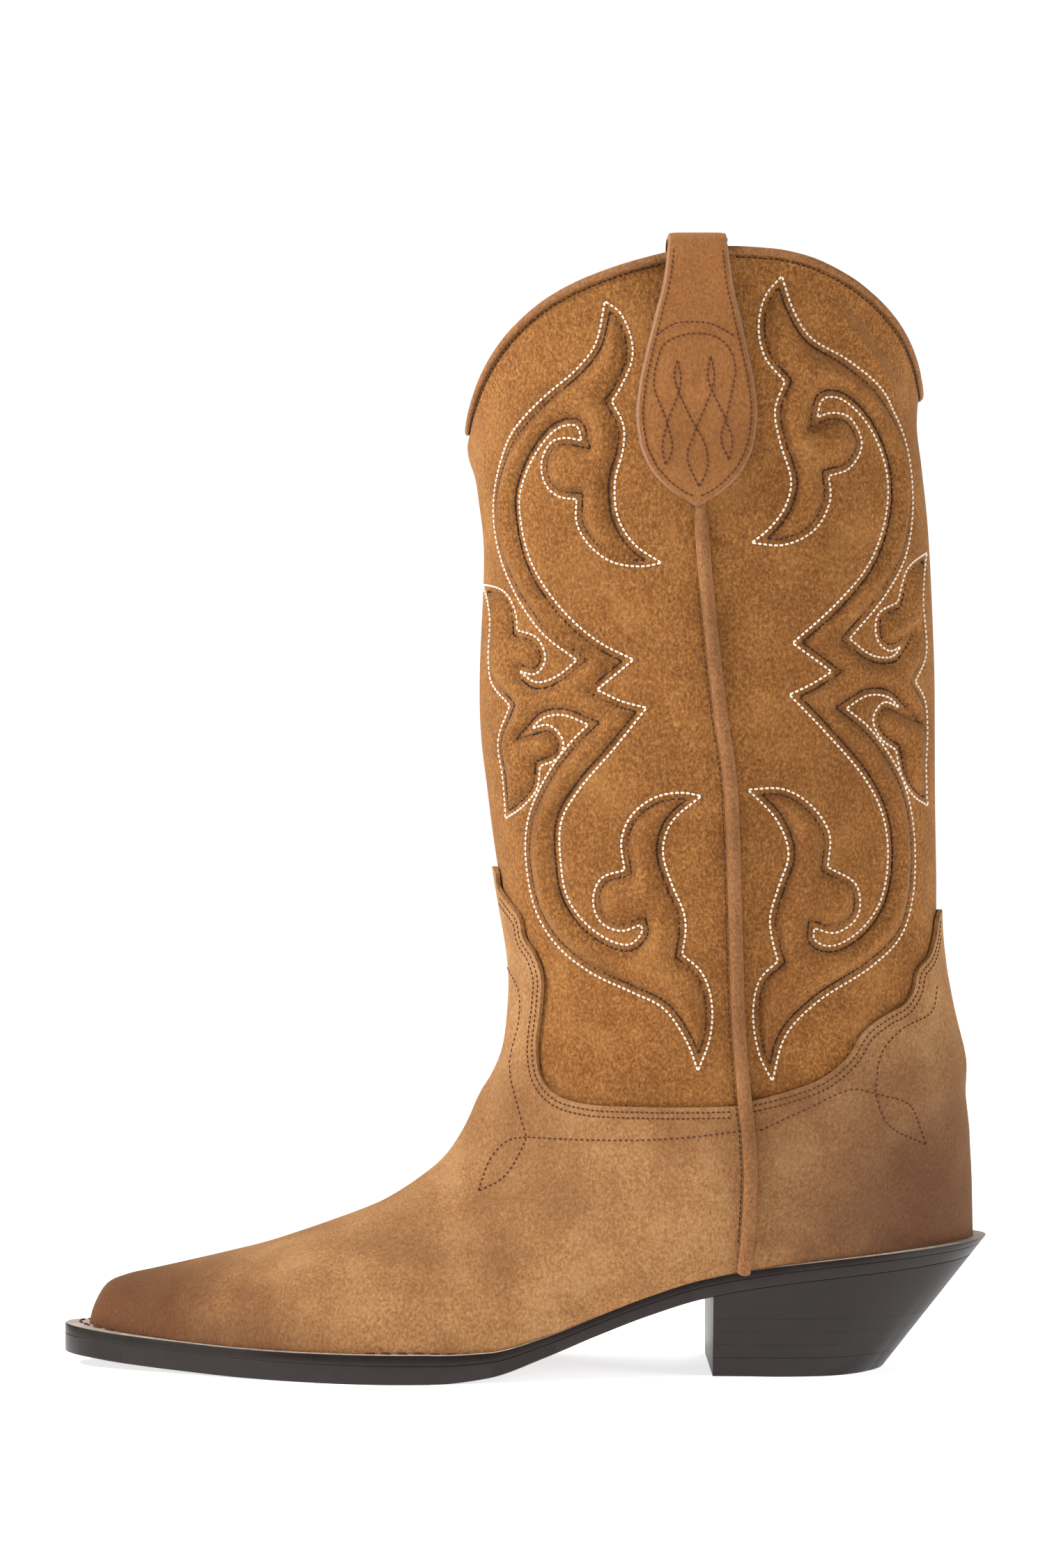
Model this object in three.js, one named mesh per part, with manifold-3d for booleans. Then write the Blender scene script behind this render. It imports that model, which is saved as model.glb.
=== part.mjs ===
// A pull-on cowboy boot for the left foot, taken apart the way a bootmaker builds it:
// leather panels, linings and stiffeners in layers, a welted sole, and a stacked heel with its nails.
// Millimetres, +Z up. The toe points towards -X and the outer side of the foot faces -Y.
// The origin is on the ground, in the middle of the boot's box.
import * as THREE from "three";
import { mergeVertices } from "three/addons/utils/BufferGeometryUtils.js";
import Module from "manifold-3d";

const wasm = await Module();
wasm.setup();

// ---------------------------------------------------------------- driving dimensions

const SOLE_LENGTH = 288; // toe tip of the outsole to the back of the heel seat
const TOPLINE_HEIGHT = 341; // ground to the top of the shaft wall at the side seams
const SHAFT_WIDTH = 104; // across the top of the shaft, side to side
const FOOT_WIDTH = 86; // across the ball of the foot, over the leather
const HEEL_HEIGHT = 25; // ground to the outsole at the front face of the heel

const LEATHER = 1.4; // outer leather
const PADDING = 1.2; // foam behind the stitched shaft, and the stiffeners of the foot
const LINING = 1.0; // pigskin lining
const CLEAR = 0.3; // between layers that lie on each other
const SEAM_GAP = 2.4; // between the front and back panels, where the side welt's tail sits
const SEAM_TAIL = 1;
const SEAM_BEND = 62; // below this the seam follows the curve of the heel // thickness of the side welt's tail
const BEAD_WIDTH = 3.9; // side welt
const BEAD_HEIGHT = 2.1;
const BINDING = 1.0; // leather of the top binding
const BINDING_DEPTH = 2.4; // how far it reaches down the wall

const MARGIN = 12; // leather turned in under the insole
const INSOLE = 2.2;
const SOCK = 1.0;
const OUTSOLE = 5.6; // at the ball
const OUTSOLE_WAIST = 3.5; // at the waist and the heel seat
const WELT = 3.0;
const WELT_WAIST = 2;
const SHANK_LENGTH = 100;
const SHANK_WIDTH = 13;
const SHANK_X = 22; // the middle of the shank
const SHANK = 1.5;

const TOP_PIECE = 6; // the rubber lift that meets the ground
const WEDGE_FOOT = 18; // the level lifts end here and the wedge under the seat begins
const LIFT_COUNT = 3;
const HEEL_FRONT_X = 57.5; // the heel's front face
const HEEL_BACK_RUN = 32.5; // how far the back of the heel slants in from seat to ground
const HEEL_SIDE_RUN = 5.5; // how far each side slants in
const NAIL_RADIUS = 0.9;
const NAIL_LENGTH = 29;
const NAIL_HEAD_RADIUS = 2.4;
const NAIL_HEAD = 0.8;
const NAIL_CLEAR = 0.3;
const BRAD_RADIUS = 0.8;
const BRAD_LENGTH = 9;
const BRAD_RECESS = 0.4;

const STRAP = 2.4; // two leathers, back to back
const STRAP_X = 51.5; // the pull strap's centre line
const STRAP_STANDOFF = 7.6; // how far the loop stands off the wall, for the fingers
const STRAP_RISE = 4.6; // top of the strap's middle surface above the wall

const FRONT_COLUMNS = 6; // grid steps from the front centre to a side seam
const BACK_COLUMNS = 5;
const PLACE_STEPS = 2; // grid steps from one point of the feather line to the next

const PADDING_DEPTH = LEATHER + CLEAR;
const LINING_DEPTH = PADDING_DEPTH + PADDING + CLEAR;
const WALL = LINING_DEPTH + LINING; // the whole wall, from outer leather to lining

// ---------------------------------------------------------------- drafts at the sample size

const SAMPLE = { length: 288, topline: 341, shaftWidth: 104, footWidth: 86, heel: 25 };
const ANKLE_Z = 150; // above this the pattern stretches with the shaft

// Sections through the boot, from above the topline to the toe. Each runs from a point on the front
// profile (x, z) to the back of the boot (height) or to a place on the feather line (see FEATHER).
// half: half width; wide: where along the section it is widest; front, back: roundness (2 is an ellipse).
const SECTIONS = [
  { x: -20.3, z: 356, height: 356, half: 53.2, wide: 0.5, front: 2.25, back: 2.25 },
  { x: -19.6, z: 325, height: 325, half: 52.8, wide: 0.5, front: 2.25, back: 2.25 },
  { x: -17.9, z: 297, height: 297, half: 52, wide: 0.5, front: 2.25, back: 2.25 },
  { x: -14.8, z: 272, height: 272, half: 50.8, wide: 0.5, front: 2.25, back: 2.25 },
  { x: -12.9, z: 255, height: 255, half: 50.2, wide: 0.5, front: 2.25, back: 2.25 },
  { x: -14.3, z: 203, height: 205, half: 49, wide: 0.5, front: 2.22, back: 2.22 },
  { x: -11.6, z: 178, height: 182, half: 47.4, wide: 0.5, front: 2.2, back: 2.2 },
  { x: -8.6, z: 155, height: 160, half: 45, wide: 0.5, front: 2.15, back: 2.2 },
  { x: -3.7, z: 124, height: 122, half: 40.4, wide: 0.5, front: 2.05, back: 2.2 },
  { x: -3.9, z: 110.6, height: 105, half: 38.4, wide: 0.51, front: 2, back: 2.2 },
  { x: -5.7, z: 98, height: 88, half: 36.8, wide: 0.53, front: 1.95, back: 2.2 },
  { x: -9.3, z: 89.5, height: 71, half: 35.6, wide: 0.55, front: 1.92, back: 2.15 },
  { x: -12.8, z: 84.2, height: 55, half: 34.8, wide: 0.57, front: 1.9, back: 2.2 },
  { x: -15.6, z: 80.2, height: 45, half: 34.2, wide: 0.59, front: 1.9, back: 2.25 },
  { x: -17.6, z: 76.9, feather: 0, half: 34, wide: 0.61, front: 1.9, back: 2.25 },
  { x: -19.4, z: 73.6, feather: 0.7, half: 33.8, wide: 0.63, front: 1.9, back: 1.85 },
  { x: -21.2, z: 70.6, feather: 1.6, half: 33.8, wide: 0.65, front: 1.9, back: 1.65 },
  { x: -23.2, z: 67.6, feather: 2.6, half: 33.8, wide: 0.67, front: 1.9, back: 1.55 },
  { x: -25.6, z: 64.7, feather: 3.7, half: 33.9, wide: 0.69, front: 1.9, back: 1.65 },
  { x: -28.6, z: 61.9, feather: 4.9, half: 34.1, wide: 0.71, front: 1.9, back: 1.7 },
  { x: -32.5, z: 58.9, feather: 6.2, half: 34.8, wide: 0.73, front: 1.9, back: 1.65 },
  { x: -38, z: 55.1, feather: 7.6, half: 36, wide: 0.74, front: 1.9, back: 1.8 },
  { x: -44.5, z: 51.3, feather: 8.9, half: 38.2, wide: 0.75, front: 1.92, back: 2 },
  { x: -52, z: 48.1, feather: 10, half: 41, wide: 0.76, front: 1.95, back: 2.2 },
  { x: -60.5, z: 44.9, feather: 11.2, half: 43, wide: 0.76, front: 2, back: 2.2 },
  { x: -70, z: 41.5, feather: 12.4, half: 42.9, wide: 0.76, front: 2.05, back: 2.2 },
  { x: -81, z: 37.9, feather: 13.6, half: 40, wide: 0.75, front: 2.1, back: 2.2 },
  { x: -93, z: 34.8, feather: 14.8, half: 33.7, wide: 0.74, front: 2.2, back: 2.2 },
  { x: -105, z: 32, feather: 15.9, half: 26.2, wide: 0.73, front: 2.3, back: 2.2 },
  { x: -116, z: 29.6, feather: 17, half: 20.2, wide: 0.72, front: 2.3, back: 2.2 },
  { x: -125, z: 27.6, feather: 17.9, half: 14.8, wide: 0.71, front: 2.3, back: 2.2 },
  { x: -130.8, z: 25, feather: 18.7, half: 10.4, wide: 0.7, front: 2.3, back: 2.2 },
  { x: -134.4, z: 19.4, feather: 19.3, half: 7, wide: 0.7, front: 2.3, back: 2.2 },
  { x: -136.1, z: 14, feather: 19.75, half: 3.6, wide: 0.7, front: 2.3, back: 2.2 },
  { x: -136.4, z: 9.6, feather: 20, half: 0, wide: 0.7, front: 2.3, back: 2.2 },
];

// Back profile of the leather: height, x.
const BACK = [
  [38, 139.8], [45, 139.7], [58, 139.5], [71, 138.8], [85, 137.3], [98, 135.4], [104, 133.9],
  [111, 132.2], [117, 131], [124, 129.8], [137, 128.5], [150, 128.2], [182, 127.7], [209, 127.6],
  [235, 126.8], [261, 125.4], [280, 123.4], [293, 122], [307, 123], [325, 124], [356, 125],
];

// Feather line, where the upper meets the sole: x, half width about the foot's centre line.
const FEATHER = [
  [139.8, 0], [137, 10.5], [131, 19], [122, 25.2], [110, 29], [90, 30.5], [70, 29.5], [50, 28.5],
  [30, 29], [10, 32], [-10, 37.2], [-25, 40.4], [-40, 41.5], [-54, 40], [-70, 36], [-88, 29.4],
  [-105, 21.8], [-115, 17], [-126, 11.6], [-133, 7], [-136.4, 0],
];
// The foot's centre line swings inwards at the toe and outwards at the waist: x, y.
const CENTRE = [[-144, 4.6], [-105, 3.4], [-70, 0.8], [-40, -1], [0, -1.6], [30, -1.6], [70, 0], [144, 0]];
// Underside of the outsole: x, height. It is flat where it treads.
const TREAD = [
  [-144, 5.2], [-126, 2.4], [-105, 1], [-84, 0.2], [-64, 0], [-28, 0], [-12, 1.5], [5, 7],
  [21, 13.2], [38, 19.4], [55, 24.4], [80, 28.5], [105, 31.4], [125, 33.6], [144, 35.5],
];
// How far the sole's edge stands out beyond the feather line: x, ledge.
const LEDGE = [
  [-136.4, 7.6], [-130, 5.4], [-115, 4.4], [-90, 3.8], [-40, 3.6], [0, 3.4], [30, 3.3],
  [70, 3.1], [120, 3.4], [139.8, 4.2],
];
// The side seam: height, x.
const SEAM = [
  [30, 66.2], [47, 68], [62, 68.6], [74, 68], [86, 66.6], [110, 64.6], [133, 63.7], [178, 62],
  [204, 58.5], [236, 54.9], [262, 52.7], [290, 51.7], [356, 51.5],
];
// The topline in side view: x, height, from the front dip over the side to the back dip.
const TOPLINE = [
  [-24, 279], [-18.6, 287], [-17.4, 291], [-16.2, 296], [-12.9, 305], [-7, 314.3], [-1, 320.6],
  [7, 326.6], [18, 332], [35, 337.4], [50, 340.4], [62, 341], [75, 340.4], [84, 338.8], [97, 333.5],
  [106, 327.5], [112, 321.9], [116.5, 316], [119.6, 309.8], [122, 303], [127, 296],
];
// Upper edge of the vamp, from the tip of the tongue to the side seam: x, height.
const VAMP_EDGE = [
  [-20, 158], [-8.4, 155.4], [-7, 149], [-4, 144.6], [-0.6, 140], [0.6, 134], [3.6, 129.4], [6, 122],
  [5.6, 112], [4.4, 100], [5.6, 91], [10, 85.8], [18, 83.4], [35, 82.8], [54, 83], [74, 83.8],
];
// Upper edge of the counter cover, from the side seam to its tip at the back: x, height.
const COUNTER_EDGE = [
  [60, 83.4], [70, 85.4], [82, 88.6], [91, 92.4], [98, 98.4], [102.6, 105.8], [109, 110.6], [115, 113.8],
  [118, 118.2], [119.4, 124], [123.4, 128.4], [125.6, 134.4], [127.6, 141.4], [140, 144],
];
// Lower edges of the shaft panels, hidden under the vamp and the counter cover: x, height.
const SHAFT_FRONT_FOOT = [[-16, 97], [-4, 92], [10, 74], [30, 71], [74, 71]];
const SHAFT_BACK_FOOT = [[60, 71], [76, 73], [98, 85], [118, 104], [136, 113]];
// The pull strap's outer tab: height, half width.
const STRAP_OUTLINE = [
  [262, 0.6], [264, 2.6], [268.5, 7.4], [275.5, 12.8], [282.5, 16.4], [292, 18.1], [301, 17.3],
  [310.5, 15.3], [320, 13], [331.5, 10.2], [344, 8.8],
];

// ---------------------------------------------------------------- curves

// A smooth curve through [x, y] pairs that never overshoots them (monotone cubic).
function through(pairs) {
  const xs = pairs.map((p) => p[0]);
  const ys = pairs.map((p) => p[1]);
  const slopes = xs.slice(1).map((x, i) => (ys[i + 1] - ys[i]) / (x - xs[i]));
  const tangents = xs.map((_, i) => {
    if (i === 0) return slopes[0];
    if (i === xs.length - 1) return slopes[i - 1];
    const before = slopes[i - 1];
    const after = slopes[i];
    return before * after <= 0 ? 0 : (2 * before * after) / (before + after);
  });
  return (x) => {
    if (x <= xs[0]) return ys[0];
    if (x >= xs[xs.length - 1]) return ys[ys.length - 1];
    let i = 0;
    while (x > xs[i + 1]) i += 1;
    const step = xs[i + 1] - xs[i];
    const t = (x - xs[i]) / step;
    const rise = ys[i] * (1 + 2 * t) * (1 - t) ** 2 + ys[i + 1] * (3 - 2 * t) * t ** 2;
    return rise + step * (tangents[i] * t * (1 - t) ** 2 - tangents[i + 1] * (1 - t) * t ** 2);
  };
}

function smooth(low, high, value) {
  const t = Math.min(1, Math.max(0, (value - low) / (high - low)));
  return t * t * (3 - 2 * t);
}

// A spline through [x, y] pairs, sampled into that many steps between each two of them.
function spline(pairs, steps) {
  const curve = new THREE.CatmullRomCurve3(
    pairs.map(([x, y]) => new THREE.Vector3(x, y, 0)),
    false,
    "centripetal",
  );
  return curve.getPoints((pairs.length - 1) * steps).map((p) => [p.x, p.y]);
}

// ---------------------------------------------------------------- grading to the driving dimensions

const lengthGrade = SOLE_LENGTH / SAMPLE.length;
const shaftGrade = (TOPLINE_HEIGHT - ANKLE_Z) / (SAMPLE.topline - ANKLE_Z);
const heelGrade = HEEL_HEIGHT / SAMPLE.heel - 1;
const sampleTread = through(TREAD);

const gradeX = (x) => x * lengthGrade;
// Heights above the ankle stretch with the shaft, and a higher heel lifts all that stands on it.
function gradeZ(z, x) {
  const stretched = z > ANKLE_Z ? ANKLE_Z + (z - ANKLE_Z) * shaftGrade : z;
  return stretched + heelGrade * sampleTread(x);
}
const grade = ([x, z]) => [gradeX(x), gradeZ(z, x)];
const gradeTurned = ([z, x]) => [gradeZ(z, x), gradeX(x)];
function gradeHalf(half, height) {
  const shaft = SHAFT_WIDTH / SAMPLE.shaftWidth;
  const foot = FOOT_WIDTH / SAMPLE.footWidth;
  return half * (foot + (shaft - foot) * smooth(60, 200, height));
}

const treadAt = through(TREAD.map(grade));
const backAt = through(BACK.map(gradeTurned));
const centreAt = through(CENTRE.map(([x, y]) => [gradeX(x), y]));
const ledgeAt = through(LEDGE.map(([x, ledge]) => [gradeX(x), ledge]));
const seamAt = through(SEAM.map(gradeTurned));
const toplineAt = through(TOPLINE.map(grade));
const waist = (x) => smooth(gradeX(-34), gradeX(16), x);
const outsoleAt = (x) => OUTSOLE + (OUTSOLE_WAIST - OUTSOLE) * waist(x);
const weltAt = (x) => WELT + (WELT_WAIST - WELT) * waist(x);
// The level on which the upper's outer leather is turned in, just above the outsole.
const seatAt = (x) => treadAt(x) + outsoleAt(x) + 1.5 * CLEAR;

const halfOutline = FEATHER.map(([x, half]) => [gradeX(x), gradeHalf(half, 0)]);
const featherLoop = new THREE.CatmullRomCurve3(
  [...halfOutline, ...halfOutline.slice(1, -1).reverse().map(([x, half]) => [x, -half])].map(
    ([x, half]) => new THREE.Vector3(x, half, 0),
  ),
  true,
  "centripetal",
);
const TOE = FEATHER.length - 1;
const featherCount = 2 * TOE;

// A point of the feather line, moved outwards by out: x and the half width there.
function feather(place, out = 0) {
  const at = featherLoop.getPoint(place / featherCount);
  const along = featherLoop.getTangent(place / featherCount);
  const half = place === 0 || place === TOE ? 0 : at.y + out * -along.x;
  return { x: at.x + out * along.y, half: Math.max(half, 0), sample: at.x };
}

const heelFront = gradeX(HEEL_FRONT_X);
const heelTop = seatAt(gradeX(FEATHER[0][0])) + WELT_WAIST;
const heelBack = gradeX(FEATHER[0][0]) + ledgeAt(gradeX(FEATHER[0][0]));

// A point of the sole's outline at a height. Past the heel's front face the back and the sides slant in
// towards the ground.
function slanted({ x, half }, z) {
  const drop = Math.max(heelTop - z, 0) / heelTop;
  const sideDrop = z < treadAt(x) ? 1 - z / treadAt(x) : 0;
  const back = Math.max(x - heelFront, 0) / (heelBack - heelFront);
  return {
    x: x - HEEL_BACK_RUN * drop * back,
    half: Math.max(half - HEEL_SIDE_RUN * sideDrop * Math.min(1, half / 20), 0),
  };
}

// The place on the feather line whose x is given.
function featherPlace(x) {
  let low = 0;
  let high = TOE;
  for (let i = 0; i < 40; i += 1) {
    const middle = (low + high) / 2;
    if (featherLoop.getPoint(middle / featherCount).x > x) low = middle;
    else high = middle;
  }
  return (low + high) / 2;
}

// ---------------------------------------------------------------- the boot's outer surface

const SECTION_COUNT = SECTIONS.length;
const LAST = SECTION_COUNT - 1;
const indexed = (read) => through(SECTIONS.map((s, i) => [i, read(s)]));
const cornerHeight = seatAt(gradeX(FEATHER[0][0]));
const frontProfile = new THREE.CatmullRomCurve3(
  SECTIONS.map((s, i) => {
    const x = gradeX(s.x);
    return new THREE.Vector3(x, 0, i === LAST ? seatAt(x) : gradeZ(s.z, s.x));
  }),
  false,
  "centripetal",
);
const backPlace = indexed((s) =>
  s.feather === undefined ? cornerHeight - gradeZ(s.height, FEATHER[0][0]) : s.feather,
);
const halfAt = indexed((s) => gradeHalf(s.half, s.z));
const wideAt = indexed((s) => s.wide);
const frontRoundAt = indexed((s) => s.front);
const backRoundAt = indexed((s) => s.back);
const toeWall = 22; // below this height the front profile is the toe's front wall
const PADDING_ROW = 0.15; // the padding stops this far below the topline
const DIP_ROW = 3; // a section below the dips of the topline
const TONGUE_ROW = 6; // a section above the tip of the tongue
const LINING_ROW = 8; // a section above the linings of the foot
const SHAFT_FOOT_ROW = 12; // a section below the foot of the shaft panels
const HEEL_ROW = 13; // the sections turn round the heel between these two
const WAIST_ROW = 20;
const BALL_ROW = 25;
const TOE_BOX_ROW = 26; // where the toe box begins
const CORK_FROM = 3; // the cork filler runs between these places of the feather line
const CORK_TO = 15;

// Both ends of a section, at a depth below the outer surface.
function section(v, depth) {
  const front = frontProfile.getPoint(v / LAST);
  const along = frontProfile.getTangent(v / LAST);
  const wallShare = front.x < gradeX(-120) ? 1 - smooth(seatAt(front.x), toeWall, front.z) : 0;
  const place = backPlace(v);
  const result = {
    frontX: front.x - depth * along.z,
    frontZ: front.z + depth * along.x + depth * wallShare,
    half: Math.max(halfAt(v) - depth, 0),
    foot: 0,
  };
  if (place < 0) {
    const rise = -place;
    const full = -backPlace(0);
    result.backZ = cornerHeight + depth + rise * (1 - depth / full);
    result.backX = backAt(cornerHeight + rise) - depth;
  } else {
    const end = feather(Math.min(place, TOE), -depth);
    result.backX = end.x;
    result.backZ = seatAt(end.x) + depth;
    result.foot = end.half;
  }
  if (v >= LAST) {
    result.frontX = result.backX;
    result.frontZ = result.backZ;
    result.half = 0;
    result.foot = 0;
  }
  result.half = Math.max(result.half, result.foot);
  result.wide = wideAt(v);
  result.frontRound = frontRoundAt(v);
  result.backRound = backRoundAt(v);
  return result;
}

const shareOf = (turn, wide) =>
  turn <= 1
    ? wide * (1 - Math.cos((turn * Math.PI) / 2))
    : wide + (1 - wide) * Math.sin(((turn - 1) * Math.PI) / 2);
const turnOf = (share, wide) =>
  share <= wide
    ? (Math.acos(1 - share / wide) * 2) / Math.PI
    : 1 + (Math.asin(Math.min(1, (share - wide) / (1 - wide))) * 2) / Math.PI;

// A point of the surface. v picks the section; turn runs from 0 at the front to 2 at the back or the
// feather line; side is -1 for the outer side of the foot and +1 for the inner side.
function skin(v, turn, side, depth) {
  const s = section(v, depth);
  const share = shareOf(turn, s.wide);
  const x = s.frontX + (s.backX - s.frontX) * share;
  const z = s.frontZ + (s.backZ - s.frontZ) * share;
  let half = 0;
  if (share <= s.wide) {
    const inward = 1 - share / s.wide;
    half = s.half * (1 - inward ** s.frontRound) ** (1 / s.frontRound);
  } else {
    const outward = Math.min(1, (share - s.wide) / (1 - s.wide));
    half = s.foot + (s.half - s.foot) * (1 - outward ** s.backRound) ** (1 / s.backRound);
  }
  const centre = centreAt(x) * (1 - smooth(40, 110, z));
  return new THREE.Vector3(x, centre + side * half, z);
}

// The section and turn at which the surface passes a point of the side view.
function locate(x, z, depth = 0) {
  let low = 0;
  let high = LAST;
  for (let i = 0; i < 36; i += 1) {
    const middle = (low + high) / 2;
    const s = section(middle, depth);
    const cross = (s.backX - s.frontX) * (z - s.frontZ) - (s.backZ - s.frontZ) * (x - s.frontX);
    if (cross < 0) low = middle;
    else high = middle;
  }
  const v = (low + high) / 2;
  const s = section(v, depth);
  const run = [s.backX - s.frontX, s.backZ - s.frontZ];
  const share = ((x - s.frontX) * run[0] + (z - s.frontZ) * run[1]) / (run[0] ** 2 + run[1] ** 2);
  return { v, turn: turnOf(Math.min(1, Math.max(0, share)), s.wide) };
}

// The point of the wall seen at (x, z) in side view, and its outward normal.
function wall(x, z, side, depth = 0) {
  const { v, turn } = locate(x, z, depth);
  const step = 0.02;
  const at = skin(v, turn, side, depth);
  const safe = Math.min(1.98, Math.max(step, turn));
  const round = skin(v, safe + step, side, depth).sub(skin(v, safe - step, side, depth));
  const down = skin(v + step, safe, side, depth).sub(skin(v - step, safe, side, depth));
  const normal = round.cross(down).multiplyScalar(side).normalize();
  return { at, normal };
}

// The turn at which a section crosses the side seam, shifted along x; 2 if it passes below it.
function seamTurn(v, shift, depth) {
  const s = section(v, depth);
  let low = 0;
  let high = 1;
  for (let i = 0; i < 30; i += 1) {
    const share = (low + high) / 2;
    const x = s.frontX + (s.backX - s.frontX) * share;
    const z = s.frontZ + (s.backZ - s.frontZ) * share;
    if (x < seamAt(z) + shift) low = share;
    else high = share;
  }
  return low > 0.9999 ? 2 : turnOf(low, s.wide);
}

// How far the vamp and the counter cover are lifted by the shaft panel beneath them.
const frontFootAt = through(SHAFT_FRONT_FOOT.map(grade));
const backFootAt = through(SHAFT_BACK_FOOT.map(grade));
const LIFT = LEATHER + CLEAR;
const LIFT_FULL = [9, 17]; // front and back: the lift is full this far below the panel's foot
const LIFT_RUN = 13; // and eases off over this height
function liftAt(foot, full, z) {
  return LIFT * smooth(foot - full - LIFT_RUN, foot - full, z);
}
const frontLift = (x, z) => liftAt(frontFootAt(x), LIFT_FULL[0], z);
const backLift = (x, z) => liftAt(backFootAt(x), LIFT_FULL[1], z);
const noLift = () => 0;

// ---------------------------------------------------------------- solids

// A closed geometry from corner points and triangles, with doubled corners merged and flat triangles dropped.
function closed(points, triangles) {
  const geometry = new THREE.BufferGeometry().setFromPoints(points);
  geometry.setIndex(triangles);
  const merged = mergeVertices(geometry, 1e-3);
  const index = merged.index.array;
  const kept = [];
  for (let i = 0; i < index.length; i += 3) {
    const [a, b, c] = [index[i], index[i + 1], index[i + 2]];
    if (a !== b && b !== c && c !== a) kept.push(a, b, c);
  }
  merged.setIndex(kept);
  return merged;
}

function toSolid(geometry) {
  const bare = new THREE.BufferGeometry().setAttribute("position", geometry.getAttribute("position").clone());
  if (geometry.index) bare.setIndex(geometry.index.clone());
  const merged = mergeVertices(bare, 1e-3);
  return new wasm.Manifold(
    new wasm.Mesh({
      numProp: 3,
      vertProperties: new Float32Array(merged.attributes.position.array),
      triVerts: new Uint32Array(merged.index.array),
    }),
  );
}

function toGeometry(solid) {
  const mesh = solid.getMesh();
  const positions = new Float32Array(mesh.numVert * 3);
  for (let i = 0; i < mesh.numVert; i += 1)
    positions.set(mesh.vertProperties.subarray(i * mesh.numProp, i * mesh.numProp + 3), i * 3);
  const geometry = new THREE.BufferGeometry();
  geometry.setAttribute("position", new THREE.BufferAttribute(positions, 3));
  geometry.setIndex(new THREE.BufferAttribute(mesh.triVerts, 1));
  return geometry;
}

const subtract = (geometry, ...cutters) =>
  toGeometry(cutters.reduce((solid, cutter) => solid.subtract(toSolid(cutter)), toSolid(geometry)));
const keepInside = (geometry, cutter) => toGeometry(toSolid(geometry).intersect(toSolid(cutter)));
const join = (geometry, ...others) =>
  toGeometry(others.reduce((solid, other) => solid.add(toSolid(other)), toSolid(geometry)));

// A curved sheet between two grids of points, with its rim closed.
function sheet(outer, inner) {
  const rows = outer.length;
  const columns = outer[0].length;
  const points = [...outer.flat(), ...inner.flat()];
  const top = (i, j) => i * columns + j;
  const under = (i, j) => rows * columns + top(i, j);
  const triangles = [];
  const quad = (a, b, c, d) => triangles.push(a, b, c, a, c, d);
  for (let i = 0; i + 1 < rows; i += 1)
    for (let j = 0; j + 1 < columns; j += 1) {
      quad(top(i, j), top(i + 1, j), top(i + 1, j + 1), top(i, j + 1));
      quad(under(i, j), under(i, j + 1), under(i + 1, j + 1), under(i + 1, j));
    }
  for (let i = 0; i + 1 < rows; i += 1) {
    quad(top(i, 0), under(i, 0), under(i + 1, 0), top(i + 1, 0));
    quad(top(i, columns - 1), top(i + 1, columns - 1), under(i + 1, columns - 1), under(i, columns - 1));
  }
  for (let j = 0; j + 1 < columns; j += 1) {
    quad(top(0, j), top(0, j + 1), under(0, j + 1), under(0, j));
    quad(top(rows - 1, j), under(rows - 1, j), under(rows - 1, j + 1), top(rows - 1, j + 1));
  }
  return closed(points, triangles);
}

// A bar through closed cross-sections that all have the same number of corners, capped at both ends.
function bar(rings) {
  const corners = rings[0].length;
  const triangles = [];
  for (let i = 0; i + 1 < rings.length; i += 1)
    for (let j = 0; j < corners; j += 1) {
      const k = (j + 1) % corners;
      const [a, b, c, d] = [i * corners + j, i * corners + k, (i + 1) * corners + k, (i + 1) * corners + j];
      triangles.push(a, b, c, a, c, d);
    }
  const capOf = (ring, start, flip) => {
    const normal = new THREE.Vector3();
    ring.forEach((p, j) => normal.add(p.clone().cross(ring[(j + 1) % corners])));
    const turn = new THREE.Quaternion().setFromUnitVectors(normal.normalize(), new THREE.Vector3(0, 0, 1));
    const flat = ring.map((p) => p.clone().applyQuaternion(turn));
    THREE.ShapeUtils.triangulateShape(flat.map((p) => new THREE.Vector2(p.x, p.y)), []).forEach((face) => {
      const order = flip ? [...face].reverse() : face;
      triangles.push(...order.map((j) => start + j));
    });
  };
  capOf(rings[0], 0, true);
  capOf(rings[rings.length - 1], (rings.length - 1) * corners, false);
  const geometry = closed(rings.flat(), triangles);
  return facingOut(geometry);
}

// Turns a closed geometry's faces outwards if they face in.
function facingOut(geometry) {
  const p = geometry.getAttribute("position");
  const index = geometry.index.array;
  const corner = (k) => new THREE.Vector3().fromBufferAttribute(p, index[k]);
  let volume = 0;
  for (let i = 0; i < index.length; i += 3) volume += corner(i).dot(corner(i + 1).cross(corner(i + 2)));
  if (volume < 0)
    for (let i = 0; i < index.length; i += 3) [index[i + 1], index[i + 2]] = [index[i + 2], index[i + 1]];
  return geometry;
}

// Everything above or below a line of the side view, as a block across the whole width. The line is
// given from toe to heel and runs on level past both its ends.
function sideBlock(line, limitZ) {
  const [first, last] = [line[0], line[line.length - 1]];
  const corners = [
    [-SOLE_LENGTH, limitZ],
    [-SOLE_LENGTH, first[1]],
    ...line,
    [SOLE_LENGTH, last[1]],
    [SOLE_LENGTH, limitZ],
  ];
  const shape = new THREE.Shape(corners.map(([x, z]) => new THREE.Vector2(x, z)));
  const depth = 2 * SHAFT_WIDTH;
  const block = new THREE.ExtrudeGeometry(shape, { depth, bevelEnabled: false });
  return block.rotateX(Math.PI / 2).translate(0, depth / 2, 0);
}

// ---------------------------------------------------------------- panels of the upper

const steps = (low, high, count) => Array.from({ length: count + 1 }, (_, i) => low + ((high - low) * i) / count);
const rowsBetween = (low, high) => steps(low, high, Math.ceil(high - low));

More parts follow.
